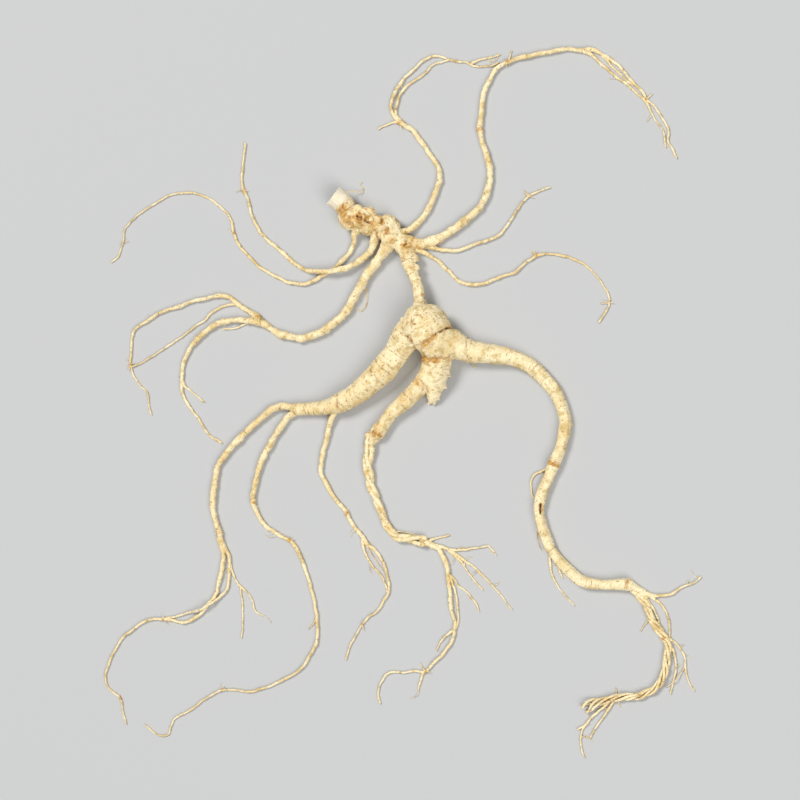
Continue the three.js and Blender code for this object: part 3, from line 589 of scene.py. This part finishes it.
def noise_track(along, *shifts):
    """Places for noise that changes along a root and, by the shifts, from root to root."""
    return np.column_stack([along, *(np.full_like(along, shift) for shift in shifts)])


def fade(value, low, high):
    """0 up to low, 1 from high on, and smooth between them."""
    share = np.clip((value - low) / (high - low), 0, 1)
    return share * share * (3 - 2 * share)


def bell(value, power=2):
    """1 at 0, and falling smoothly to 0 on both sides."""
    return np.exp(-(value**power))


# Meshes

def added(name, data):
    made = bpy.data.objects.new(name, data)
    bpy.context.collection.objects.link(made)
    return made


def mesh_object(name, points, faces):
    mesh = bpy.data.meshes.new(name)
    mesh.from_pydata(((points - REST_SPOT) * MM).tolist(), [], faces)
    return added(name, mesh)


def merged(shapes):
    """The points and faces of several shapes as those of one."""
    points = []
    faces = []
    count = 0
    for shape_points, shape_faces, *_ in shapes:
        points.append(shape_points)
        faces.extend([corner + count for corner in face] for face in shape_faces)
        count += len(shape_points)
    return np.vstack(points), faces


def joined(tables):
    """Several dictionaries of arrays as one."""
    return {key: np.concatenate([table[key] for table in tables]) for key in tables[0]}


def apply_modifiers(made):
    graph = bpy.context.evaluated_depsgraph_get()
    made.data = bpy.data.meshes.new_from_object(made.evaluated_get(graph))
    made.modifiers.clear()


def read_points(mesh, what="co"):
    flat = np.empty(len(mesh.vertices) * 3)
    mesh.vertices.foreach_get(what, flat)
    return flat.reshape(-1, 3)


def layout_points(mesh):
    return read_points(mesh) / MM + REST_SPOT


def set_layout_points(mesh, points):
    mesh.vertices.foreach_set("co", ((points - REST_SPOT) * MM).ravel())


def finish_piece(made, points, looks, material):
    """Gives a piece its final points, none below the surface, what its material reads, and its body."""
    mesh = made.data
    points[:, 2] = np.maximum(points[:, 2], 0)
    set_layout_points(mesh, points)
    for name, values in looks.items():
        if values.ndim == 2:
            mesh.attributes.new(name, "FLOAT_VECTOR", "POINT").data.foreach_set("vector", values.ravel())
        else:
            mesh.attributes.new(name, "FLOAT", "POINT").data.foreach_set("value", values)
    mesh.shade_smooth()
    # Joining leaves an empty slot in front
    mesh.materials.clear()
    mesh.materials.append(material)
    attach(made, "root")
    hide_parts("ginseng_root")


# The body, its legs, the neck and the rhizome

def thick_rows(stations):
    rows = []
    for x, y, radius, *lift in stations:
        rows.append((x, y, radius * (1 - PRESSED_SHARE) + sum(lift), radius))
    return evenly(rows, THICK_STEP)


def thick_tube(name):
    rows, along = thick_rows(THICK_ROOTS[name])
    share = rounding(along, rows[:, 3], start=name != CUT_ROOT)
    return round_tube(rows[:, :3], rows[:, 3] * share, THICK_SIDES)


def ball(x, y, radius, height):
    shape = bmesh.new()
    place = Matrix.Translation((x, y, height))
    bmesh.ops.create_icosphere(shape, subdivisions=3, radius=radius, matrix=place)
    points = np.array([vertex.co for vertex in shape.verts])
    faces = [[vertex.index for vertex in face.verts] for face in shape.faces]
    shape.free()
    return points, faces


def straight_tube(start, end):
    rows, _ = evenly((start, end), THICK_STEP)
    return round_tube(rows[:, :3], rows[:, 3], THICK_SIDES)


def middle_samples(names):
    """Close samples of the middle lines of the named roots, as columns of arrays."""
    tables = []
    for index, name in enumerate(names):
        rows, along = thick_rows(THICK_ROOTS[name])
        ahead, across, up = frames(rows[:, :3])
        tables.append({
            "place": rows[:, :3], "radius": rows[:, 3], "along": along, "root": np.full(len(along), index),
            "ahead": ahead, "across": across, "up": up,
        })
    return joined(tables)


def nearest_two(points, samples):
    """For each point, the middle-line samples of the two roots with the nearest skins, and the gaps."""
    picks = np.empty((len(points), 2), int)
    gaps = np.empty((len(points), 2))
    firsts = np.searchsorted(samples["root"], np.arange(samples["root"][-1] + 2))
    for start in range(0, len(points), BLOCK):
        some = slice(start, start + BLOCK)
        gap = np.linalg.norm(points[some, None] - samples["place"], axis=2) - samples["radius"]
        best = np.stack(
            [low + gap[:, low:high].argmin(axis=1) for low, high in zip(firsts, firsts[1:])], axis=1
        )
        best_gap = np.take_along_axis(gap, best, axis=1)
        order = best_gap.argsort(axis=1)[:, :2]
        picks[some] = np.take_along_axis(best, order, axis=1)
        gaps[some] = np.take_along_axis(best_gap, order, axis=1)
    return picks, gaps


def fill_forks(points, samples):
    """Moves the skin outwards where two roots meet at an angle, so that one flows into the other. Gives the
    moved points, and how much each belongs to such a fork."""
    points = points.copy()
    near = np.arange(len(points))
    fork = np.zeros(len(points))
    sideways, on_top = FORK_SHARE
    for _ in range(FORK_PASSES):
        picks, gaps = nearest_two(points[near], samples)
        away = unit(points[near, None] - samples["place"][picks])
        bend = 1 - np.clip(np.einsum("ij,ij->i", away[:, 0], away[:, 1]), 0, 1)
        filled = sideways + (on_top - sideways) * fade(away[:, :, 2].mean(axis=1), 0.15, 0.65)
        reach = filled * samples["radius"][picks].min(axis=1) * bend + FORK_LEAST_REACH
        share = np.clip(1 - (gaps[:, 1] - gaps[:, 0]) / reach, 0, 1)
        inside = np.maximum(share**2 * reach / 4 - gaps[:, 0], 0) * (share > 0)
        outward = away[:, 0] * (1 - share / 2)[:, None] + away[:, 1] * (share / 2)[:, None]
        points[near] += inside[:, None] * unit(outward)
        fork[near] = np.maximum(fork[near], np.minimum(2 * share, 1))
        near = near[share > 0]
    return points, fork


def ring_grooves(along, angle, length, depth, spacing, draw):
    """How deep grooves are that run part of the way round a root, and how high the skin swells by them."""
    groove = np.zeros_like(along)
    swell = np.zeros_like(along)
    spot = draw.uniform(*spacing)
    while spot < length:
        width = draw.uniform(0.2, 0.42)
        reach = draw.uniform(0.6, 2.4)
        turned = np.abs((angle - draw.uniform(0, math.tau) + math.pi) % math.tau - math.pi)
        part = depth * draw.uniform(0.25, 1) * (1 - fade(turned, reach, reach + 0.5))
        groove += part * bell((along - spot) / width)
        swell += 0.4 * part * bell((along - spot) / (3 * width))
        spot += draw.uniform(*spacing)
    return groove, swell


def distance_to_line(points, line):
    """Distance, seen from above, of each point from a line through several places."""
    nearest = np.full(len(points), np.inf)
    for start, end in zip(np.array(line, float), np.array(line[1:], float)):
        run = end - start
        share = np.clip(((points[:, :2] - start) @ run) / (run @ run), 0, 1)
        nearest = np.minimum(nearest, np.linalg.norm(points[:, :2] - start - share[:, None] * run, axis=1))
    return nearest


def scar_forms(points, normals, roughened, x, y, size):
    """How much each point belongs to the bowl, the rim and the dark edge of a scar."""
    over = np.hypot(points[:, 0] - x, points[:, 1] - y)
    middle = (over - 2 * np.minimum(normals[:, 2], 0.2)).argmin()
    if over[middle] > size:
        return np.zeros((3, len(points)))
    away = np.linalg.norm(points - points[middle], axis=1) * roughened
    bowl = 1 - fade(away, 0.25 * size, size)
    rim = bell((away - 1.2 * size) / (0.3 * size))
    edge = bell((away - 0.75 * size) / (0.2 * size))
    return np.array([bowl, rim, edge]) * fade(normals @ normals[middle], 0, 0.4)


def carve(points, normals, samples, names, draw):
    """How far the skin of thick roots moves outwards at each point, and what its material reads."""
    picks, gaps = nearest_two(points, samples)
    nearest = picks[:, 0]
    root = samples["root"][nearest]
    radius = samples["radius"][nearest]
    offset = points - samples["place"][nearest]
    ahead, across, up = (
        np.einsum("ij,ij->i", offset, samples[name][nearest]) for name in ("ahead", "across", "up")
    )
    along = samples["along"][nearest] + ahead
    angle = np.arctan2(up, across)
    apart = fade(gaps[:, 1] - gaps[:, 0], 0.2, 2)
    upward = fade(normals[:, 2], -0.5, 0)
    broken = fade(noise_at(points, (1, 0.8, 4.4)), -0.3, 0.3)
    wobble = noise_at(points, (0.7, 0.28, 3.1), (0.25, 0.9, 5.7))
    crinkles = noise_at(points, (1, 0.75, 2.9)) - np.abs(noise_at(points, (2, 0.6, 7.7)))
    crinkles += noise_at(points, (0.5, 1.7, 9.2))
    move, stain, crack, pale = np.zeros((4, len(points)))

    # Wrinkles and lumps
    for index, name in enumerate(names):
        depth, spacing, lengthwise, crinkled = WRINKLES[name]
        here = root == index
        length = along[here].max(initial=0)
        groove, swell = ring_grooves(along[here] + wobble[here], angle[here], length, depth, spacing, draw)
        move[here] += (swell - groove) * apart[here]
        # Ring grooves are darkened by their depth: partly brown, partly painted shade
        crack[here] += GROOVE_SHADE_AND_BROWN * groove * apart[here]
        grain = np.column_stack([across[here], up[here], along[here] * 0.09 + 40 * index])
        ridges = noise_at(grain, (1, 0.85, 0), (0.5, 1.7, 2.3))
        move[here] += lengthwise * ridges * apart[here] + crinkled * crinkles[here]
    move += noise_at(points, (0.34, 0.16, 1.7)) * np.minimum(radius / LUMPY_RADIUS, 1)
    move += noise_at(points, (0.16, 0.42, 8.3))

    # Creases and golden patches
    for width, depth, brown, line in CREASES:
        gap = distance_to_line(points, line)
        fold = bell((gap + 0.4 * width * wobble) / width) * upward
        move -= depth * fold
        # The fold is darkened: the crease's brown and painted shade
        crack += brown * fold * (0.3 + 0.7 * broken)
        stain += CREASE_STAIN * brown * bell(gap / (CREASE_HALO * width)) * upward
    for width, brown, line in PATCHES:
        stain += brown * bell(distance_to_line(points, line) * (1 + 0.6 * wobble) / width) * upward

    # Scars, nodes and warts
    roughened = (1 + 0.55 * wobble) * (1 + 0.08 * crinkles)
    for x, y, size, depth, brown in SCARS:
        bowl, rim, edge = scar_forms(points, normals, roughened, x, y, size)
        move += RIM_HEIGHT * depth * rim - depth * bowl
        stain += brown * (BOWL_STAIN * bowl + RIM_STAIN * rim * broken)
        crack += brown * edge * broken
    for x, y in NODES:
        away = np.hypot(points[:, 0] - x, points[:, 1] - y)
        ring = bell((along - along[away.argmin()] + 0.5 * wobble) / NODE_REACH)
        ring *= bell(away / (radius + 0.6), power=4)
        move += NODE_HEIGHT * ring
        stain += NODE_STAIN * ring
    for wart in draw.sample(range(len(points)), WARTS):
        size = draw.uniform(0.35, 0.8)
        lump = bell(np.linalg.norm(points - points[wart], axis=1) / size)
        move += draw.uniform(0.08, 0.26) * lump
        stain += draw.uniform(-0.1, 0.3) * lump

    # Wide brown areas, more so on the rhizome, and the hollow, pale cut end of its stem
    areas = fade(noise_at(points, (1, 0.34, 6.1)), 0, 0.5)
    if CUT_ROOT in names:
        cut_root = root == names.index(CUT_ROOT)
        pale = (1 - fade(along + wobble, *PALE_SPAN)) * cut_root
        end = (1 - fade(along, 0, CUT_REACH)) * cut_root
        move -= CUT_DEPTH * end * (1 - fade(np.hypot(across, up), *CUT_HOLLOW))
        stain += RHIZOME_STAIN * areas * (1 - pale)
    stain += AREA_STAIN * areas * (1 - pale)
    looks = {
        "stain": np.clip(stain, 0, MOST_BROWN),
        "crack": np.clip(crack, 0, MOST_BROWN),
        "pale": pale,
        "seam": 1 - apart,
        "grain": np.column_stack([along + 60 * root, across, up]),
    }
    return move, looks


def smooth(made, passes, group=""):
    modifier = made.modifiers.new("smooth", "SMOOTH")
    modifier.factor = 0.5
    modifier.iterations = passes
    modifier.vertex_group = group
    apply_modifiers(made)


def thick_piece(piece_name, names, extras, voxel, draw, material):
    """Some of the thick roots, with their bumps and fibres, grown together and carved."""
    shapes = [thick_tube(name) for name in names] + extras
    made = mesh_object(piece_name, *merged(shapes))
    remesh = made.modifiers.new("skin", "REMESH")
    remesh.mode = "VOXEL"
    remesh.voxel_size = voxel * MM
    smooth(made, SKIN_SMOOTHING)
    samples = middle_samples(names)
    points, fork = fill_forks(layout_points(made.data), samples)
    set_layout_points(made.data, points)
    group = made.vertex_groups.new(name="forks")
    for index in np.flatnonzero(fork > 0).tolist():
        group.add([index], fork[index], "REPLACE")
    smooth(made, FORK_SMOOTHING, "forks")
    made.vertex_groups.clear()
    normals = read_points(made.data, "normal")
    points = layout_points(made.data)
    move, looks = carve(points, normals, samples, names, draw)
    finish_piece(made, points + move[:, None] * normals, looks, material)


def root_body(material):
    extras = [ball(*bump) for bump in LEG_BUMPS] + [straight_tube(*fibre) for fibre in TORN_FIBRES]
    thick_piece("root_body", BODY_ROOTS, extras, BODY_VOXEL, random.Random(SEED), material)


def rhizome(material):
    extras = [ball(*knob) for knob in RHIZOME_KNOBS]
    thick_piece("rhizome", RHIZOME_ROOTS, extras, RHIZOME_VOXEL, random.Random(SEED + 1), material)


# Side roots, rootlets and hairs

def rootlet_rows(start_radius, end_radius, route, step):
    rows = []
    for index, (x, y, *lift) in enumerate(route):
        left = (1 - index / (len(route) - 1)) ** ROOTLET_TAPER
        radius = end_radius + (start_radius - end_radius) * left
        rows.append((x, y, radius + ROOTLET_CLEARANCE + sum(lift), radius))
    return evenly(rows, step)


def node_nearness(middles):
    """1 at a node and falling to 0 a little away from it."""
    gap = np.linalg.norm(middles[:, None, :2] - np.array(NODES)[None], axis=2).min(axis=1)
    return bell(gap / NODE_REACH)


def plain_looks(stain, grain):
    """What the material reads on a thin root, which has no darkened creases (brown and painted shade), cut
    ends or seams.
    """
    none = np.zeros(len(stain))
    return {"stain": stain, "crack": none, "pale": none, "seam": none, "grain": grain}


def grown_tube(middles, radius, along, sides, index, draw):
    """A rootlet with a flared foot, a rounded tip, knobbly rings and lengthwise wrinkles."""
    nodes = node_nearness(middles)
    swell = 1 + FOOT_FLARE * bell(along / FOOT_REACH) + NODE_SWELL * nodes
    swell += noise_at(noise_track(along, 11.3 * index, 0), (0.18, 0.22, 0), (0.2, 0.7, 4.4))
    bead = 0
    spot = draw.uniform(2, 7)
    while spot < along[-1]:
        bead += draw.uniform(-0.12, 0.22) * bell((along - spot) / draw.uniform(0.3, 0.7))
        spot += draw.uniform(2, 8)
    radius = radius * (swell + bead) * rounding(along, np.maximum(radius, LEAST_TIP))
    ring = np.repeat(along, sides)
    turn = np.tile(np.linspace(0, math.tau, sides, endpoint=False), len(along))
    wide = np.repeat(radius, sides)
    lengthened = ring * 0.14 + 7.7 * index
    around = np.column_stack([np.cos(turn) * WRINKLE_TURN, np.sin(turn) * WRINKLE_TURN, lengthened])
    wrinkle = noise_at(around, (0.11, 1, 0), (0.06, 2.1, 3.3), base=1)
    points, faces = tube(middles, (wide * wrinkle).reshape(len(along), sides))
    grain = np.column_stack([ring + 37 * index, wide * np.cos(turn), wide * np.sin(turn)])
    stain = ROOTLET_NODE_STAIN * np.repeat(nodes, sides)
    stain = stain + ROOTLET_STAIN * fade(noise_at(grain, (1, 0.5, 9.1)), 0.2, 0.6)
    caps = [0, -1]
    looks = plain_looks(np.concatenate([stain, stain[caps]]), np.vstack([grain, grain[caps]]))
    return points, faces, looks


def rootlet(index, start_radius, end_radius, route, draw):
    rows, along = rootlet_rows(start_radius, end_radius, route, ROOTLET_STEP)
    middles = rows[:, :3]
    _, across, _ = frames(middles)
    free = fade(along, 0, 6) * fade(along[-1] - along, 0, 4)
    sway = noise_at(noise_track(along, 5.9 * index, 1), (0.45, 0.16, 1.1), (0.24, 0.45, 2.2))
    middles = middles + (sway * free)[:, None] * across
    sides = STOUT_SIDES if start_radius > STOUT_FROM_RADIUS else ROOTLET_SIDES
    return grown_tube(middles, rows[:, 3], along, sides, index, draw)


def bundle(index, radii, offsets, strands, turns, route, draw):
    """Strands wound round one middle line, a little loose in places and fanned out at the end."""
    rows, along = rootlet_rows(*radii, route, ROOTLET_STEP)
    _, across, up = frames(rows[:, :3])
    share = along / along[-1]
    offset = offsets[0] + (offsets[1] - offsets[0]) * fade(share, 0, 0.5)
    shapes = []
    for strand in range(strands):
        at = noise_track(along, 9.1 * strand, index)
        phase = math.tau * (strand / strands + turns * share) + noise_at(at, (0.8, 0.09, 3.3))
        loose = offset * (noise_at(at, (0.5, 0.11, 6.6), base=1) + FAN * fade(share, 0.85, 1))
        middles = rows[:, :3] + (loose * np.cos(phase))[:, None] * across
        middles += (BUNDLE_HEIGHT * offset + BUNDLE_HEIGHT * loose * np.sin(phase))[:, None] * up
        middles[:, 2] = np.maximum(middles[:, 2], rows[:, 3] + ROOTLET_CLEARANCE)
        shapes.append(grown_tube(middles, rows[:, 3], along, ROOTLET_SIDES, index + strand, draw))
    return shapes


def looked_up(points, known, looks):
    """What the material reads at each point, from the nearest point where it is known."""
    tree = KDTree(len(known))
    for index, place in enumerate(known):
        tree.insert(place, index)
    tree.balance()
    nearest = [tree.find(point)[1] for point in points]
    return {name: values[nearest] for name, values in looks.items()}


def enclosed_bits(form):
    """The faces of hollows between strands, which hang together in bits too small to be a rootlet."""
    bits = []
    left = set(form.faces)
    while left:
        bit = []
        reached = [left.pop()]
        while reached:
            face = reached.pop()
            bit.append(face)
            near = {other for edge in face.edges for other in edge.link_faces} & left
            left -= near
            reached.extend(near)
        if len(bit) < FEWEST_FACES:
            bits += bit
    return bits


def clean_join(mesh):
    """Takes out enclosed hollows, and points in the middle of an edge, which would fold faces over."""
    form = bmesh.new()
    form.from_mesh(mesh)
    bmesh.ops.delete(form, geom=enclosed_bits(form), context="FACES")
    spare = [point for point in form.verts if len(point.link_edges) == 2]
    bmesh.ops.dissolve_verts(form, verts=spare)
    form.to_mesh(mesh)
    form.free()


def fused_piece(name, shapes, material):
    """The tubes joined into one skin, and finished as one piece."""
    made, *others = (mesh_object(f"{name}_{index}", *shape[:2]) for index, shape in enumerate(shapes))
    group = bpy.data.collections.new(name)
    for other in others:
        group.objects.link(other)
    join = made.modifiers.new("join", "BOOLEAN")
    join.operation = "UNION"
    join.operand_type = "COLLECTION"
    join.collection = group
    join.solver = "MANIFOLD"
    apply_modifiers(made)
    clean_join(made.data)
    for other in others:
        bpy.data.objects.remove(other)
    bpy.data.collections.remove(group)
    made.name = name
    points = layout_points(made.data)
    known = np.vstack([shape[0] for shape in shapes])
    looks = looked_up(points, known, joined([shape[2] for shape in shapes]))
    finish_piece(made, points, looks, material)


def rootlet_pieces(material):
    draw = random.Random(SEED + 2)
    upper = [rootlet(index, *route, draw) for index, route in enumerate(UPPER_ROOTLETS)]
    fused_piece("upper_rootlets", upper, material)
    lower = [rootlet(index, *route, draw) for index, route in enumerate(LOWER_ROOTLETS, LOWER_INDEX)]
    for index, strands in enumerate(BUNDLES):
        lower += bundle(BUNDLE_INDEX + BUNDLE_INDEX_STEP * index, *strands, draw)
    fused_piece("lower_rootlets", lower, material)


def hair(index, start_radius, end_radius, route, draw):
    rows, along = rootlet_rows(start_radius, end_radius, route, HAIR_STEP)
    swell = noise_at(noise_track(along, 3.7 * index, 0), (0.15, 0.9, 0), base=1)
    radius = rows[:, 3] * swell * rounding(along, HAIR_TIP)
    points, faces = round_tube(rows[:, :3], radius, HAIR_SIDES)
    stain = np.full(len(points), draw.uniform(0.1, 0.4))
    return points, faces, plain_looks(stain, points + 17 * index)


def node_stubs(draw):
    """Routes of short stubs that stand out of each node."""
    routes = []
    for x, y in NODES:
        facing = draw.uniform(0, math.tau)
        for _ in range(NODE_STUBS):
            facing += math.pi * draw.uniform(0.7, 1.3)
            length = draw.uniform(*STUB_LENGTH)
            rise = draw.uniform(0, 0.5)
            route = []
            for share in (0, 0.5, 1):
                reach = STUB_START + length * share
                lift = STUB_LIFT + rise * share
                route.append((x + reach * math.cos(facing), y + reach * math.sin(facing), lift))
            routes.append((*STUB_RADII, route))
    return routes


def stray_hairs(draw):
    """Routes of fine hairs that leave the rootlets here and there and curl along the surface."""
    routes = []
    rootlets = UPPER_ROOTLETS + LOWER_ROOTLETS
    for _ in range(STRAY_HAIRS):
        rows, _ = rootlet_rows(*draw.choice(rootlets), 1)
        x, y, _, radius = rows[draw.randrange(int(BARE_FOOT * len(rows)), len(rows))]
        facing = draw.uniform(0, math.tau)
        curl = draw.uniform(-0.5, 0.5)
        stride = draw.uniform(*STRAY_LENGTH) / STRAY_STRIDES
        route = []
        for step in range(STRAY_STRIDES + 1):
            route.append((x, y, radius * (1 - step / STRAY_STRIDES)))
            x += stride * math.cos(facing)
            y += stride * math.sin(facing)
            facing += curl
        routes.append((*STRAY_RADII, route))
    return routes


def hairs_piece(material):
    draw = random.Random(SEED + 3)
    routes = HAIRS + node_stubs(draw) + stray_hairs(draw)
    shapes = [hair(index, *route, draw) for index, route in enumerate(routes)]
    points, faces = merged(shapes)
    made = mesh_object("root_hairs", points, faces)
    finish_piece(made, points, joined([shape[2] for shape in shapes]), material)


# Materials

class Nodes:
    """Short ways to add and join the nodes of one material."""

    def __init__(self, name):
        self.material = bpy.data.materials.new(name)
        self.material.use_nodes = True
        self.tree = self.material.node_tree
        self.shader = self.tree.nodes["Principled BSDF"]

    def put(self, node, inputs):
        """Links each named input of a node to an output, or sets it to a plain value."""
        for name, value in inputs.items():
            if isinstance(value, bpy.types.NodeSocket):
                self.tree.links.new(value, node.inputs[name])
            else:
                node.inputs[name].default_value = value

    def add(self, kind, inputs, **settings):
        made = self.tree.nodes.new(kind)
        for name, value in settings.items():
            setattr(made, name, value)
        self.put(made, inputs)
        return made

    def attribute(self, name, output):
        return self.add("ShaderNodeAttribute", {}, attribute_name=name).outputs[output]

    def noise(self, vector, scale, detail, roughness):
        inputs = {"Vector": vector, "Scale": scale, "Detail": detail, "Roughness": roughness}
        return self.add("ShaderNodeTexNoise", inputs).outputs["Fac"]

    def stretched(self, vector, stretch):
        return self.add("ShaderNodeVectorMath", {0: vector, 1: stretch}, operation="MULTIPLY").outputs[0]

    def ranged(self, value, low, high, to_low, to_high):
        inputs = {"Value": value, "From Min": low, "From Max": high, "To Min": to_low, "To Max": to_high}
        return self.add("ShaderNodeMapRange", inputs, interpolation_type="SMOOTHSTEP").outputs["Result"]

    def mottle(self, vector, grains, span):
        """Patches of noise: its scale, detail and roughness, and what part of it turns into what values."""
        return self.ranged(self.noise(vector, *grains), *span)

    def math(self, operation, first, second):
        return self.add("ShaderNodeMath", {0: first, 1: second}, operation=operation).outputs[0]

    def mix(self, share, first, second):
        """The first colour turning into the second. Sockets 6, 7 and 2 are those for colours."""
        return self.add("ShaderNodeMix", {0: share, 6: first, 7: second}, data_type="RGBA").outputs[2]


def skin_material():
    nodes = Nodes("dried_root_skin")
    place = nodes.add("ShaderNodeTexCoord", {}).outputs["Object"]
    grain = nodes.attribute("grain", "Vector")
    stain, crack, pale, seam = (nodes.attribute(name, "Fac") for name in ("stain", "crack", "pale", "seam"))

    # Cream skin with straw-coloured areas, olive blotches and brown spots
    colour = nodes.mix(nodes.mottle(place, (130, 6, 0.6), (0.32, 0.6, 0, 1)), STRAW, CREAM)
    colour = nodes.mix(nodes.mottle(place, (360, 3, 0.55), (0.48, 0.68, 0, 0.7)), colour, OLIVE)
    colour = nodes.mix(nodes.mottle(place, (760, 2, 0.5), (0.61, 0.72, 0, 0.65)), colour, FRECKLE)

    # Fine lines round the root, and flecks that follow them in clusters, both fading at a seam
    seam_share = nodes.math("MULTIPLY", seam, SEAM_FADE)
    lines = nodes.noise(nodes.stretched(grain, (3.4, 0.45, 0.45)), 1, 4, 0.6)
    lines = nodes.math("SUBTRACT", lines, seam_share)
    colour = nodes.mix(nodes.ranged(lines, 0.5, 0.68, 0, 0.4), colour, TAN)
    clusters = nodes.math("ADD", nodes.mottle(place, (240, 2, 0.5), (0.35, 0.62, 0.58, 0.7)), seam_share)
    dashes = nodes.noise(nodes.stretched(grain, (2.6, 0.75, 0.75)), 1, 2, 0.5)
    dashes = nodes.ranged(nodes.math("SUBTRACT", dashes, clusters), 0, 0.14, 0, 0.8)
    specks = nodes.mottle(place, (1900, 2, 0.5), (0.64, 0.72, 0, 0.75))
    colour = nodes.mix(nodes.math("MAXIMUM", dashes, specks), colour, FRECKLE)

    # Golden-brown stains, dark creases and grooves (their brown and painted shade) and the pale cut end
    golden = nodes.mix(nodes.mottle(place, (900, 5, 0.6), (0.36, 0.66, 0, 1)), GOLDEN, AMBER)
    stained = nodes.math("MULTIPLY", stain, nodes.mottle(place, (700, 6, 0.65), (0.3, 0.7, 0.25, 1.5)))
    colour = nodes.mix(nodes.ranged(stained, 0.1, 0.9, 0, 0.94), colour, golden)
    # Creases and grooves turn umber, then dark: their brown and painted shade
    broken_crease_shade = nodes.math("MULTIPLY", crack, nodes.mottle(place, (1100, 4, 0.6), (0.3, 0.7, 0.5, 1.3)))
    colour = nodes.mix(nodes.ranged(broken_crease_shade, 0.12, 0.6, 0, 0.8), colour, UMBER_AND_SHADE)
    colour = nodes.mix(nodes.ranged(broken_crease_shade, 0.55, 1.05, 0, 1), colour, DARK_SOIL_AND_SHADE)
    colour = nodes.mix(nodes.math("MULTIPLY", pale, PALENESS), colour, PITH)

    # Relief of the grain, the lines and the flecks
    fine = nodes.math("MULTIPLY", nodes.noise(place, 2600, 5, 0.6), GRAIN_RELIEF)
    lined = nodes.math("MULTIPLY", lines, nodes.math("SUBTRACT", 1, seam))
    relief = nodes.math("ADD", fine, nodes.math("MULTIPLY", lined, LINE_RELIEF))
    relief = nodes.math("SUBTRACT", relief, nodes.math("MULTIPLY", dashes, DASH_RELIEF))
    heights = {"Strength": RELIEF_STRENGTH, "Distance": RELIEF_DEPTH * MM, "Height": relief}
    bump = nodes.add("ShaderNodeBump", heights)

    nodes.put(nodes.shader, {
        "Base Color": colour,
        "Roughness": nodes.mottle(place, (300, 3, 0.5), (0.3, 0.7, 0.55, 0.8)),
        "Specular IOR Level": SKIN_SPECULAR,
        "Normal": bump.outputs["Normal"],
    })
    return nodes.material


def floor_material():
    nodes = Nodes("pale_floor")
    nodes.put(nodes.shader, {"Base Color": FLOOR_COLOUR, "Roughness": FLOOR_ROUGHNESS})
    return nodes.material


# Stage, lights and camera

def floor():
    mesh = bpy.data.meshes.new("floor")
    half = FLOOR_SIZE / 2
    corners = [(-half, -half, 0), (half, -half, 0), (half, half, 0), (-half, half, 0)]
    mesh.from_pydata(corners, [], [(0, 1, 2, 3)])
    mesh.materials.append(floor_material())
    made = added("floor", mesh)


def aimed(name, data, spot):
    """An object at the spot that looks along its -Z at the middle of the root."""
    back = (Vector(spot) - Vector(CAMERA_TARGET)).normalized()
    right = Vector(CAMERA_UP).cross(back).normalized()
    turn = Matrix((right, back.cross(right), back)).transposed().to_4x4()
    made = added(name, data)
    made.matrix_world = Matrix.Translation(spot) @ turn
    return made


def soft_light(name, spot, size, power, colour):
    light = bpy.data.lights.new(name, "AREA")
    light.shape = "DISK"
    light.size = size
    light.energy = power
    light.color = colour
    aimed(name, light, spot)


def studio():
    scene = bpy.context.scene
    scene.view_settings.view_transform = "Standard"
    world = bpy.data.worlds.new("studio")
    world.use_nodes = True
    background = world.node_tree.nodes["Background"]
    background.inputs["Color"].default_value = SKY_COLOUR
    background.inputs["Strength"].default_value = SKY_STRENGTH
    scene.world = world
    for name, light in LIGHTS.items():
        soft_light(name, *light)
    camera = bpy.data.cameras.new("camera")
    camera.lens = CAMERA_LENS
    scene.camera = aimed("camera", camera, CAMERA_SPOT)


def build():
    floor()
    studio()
    skin = skin_material()
    root_body(skin)
    rhizome(skin)
    rootlet_pieces(skin)
    hairs_piece(skin)


build()
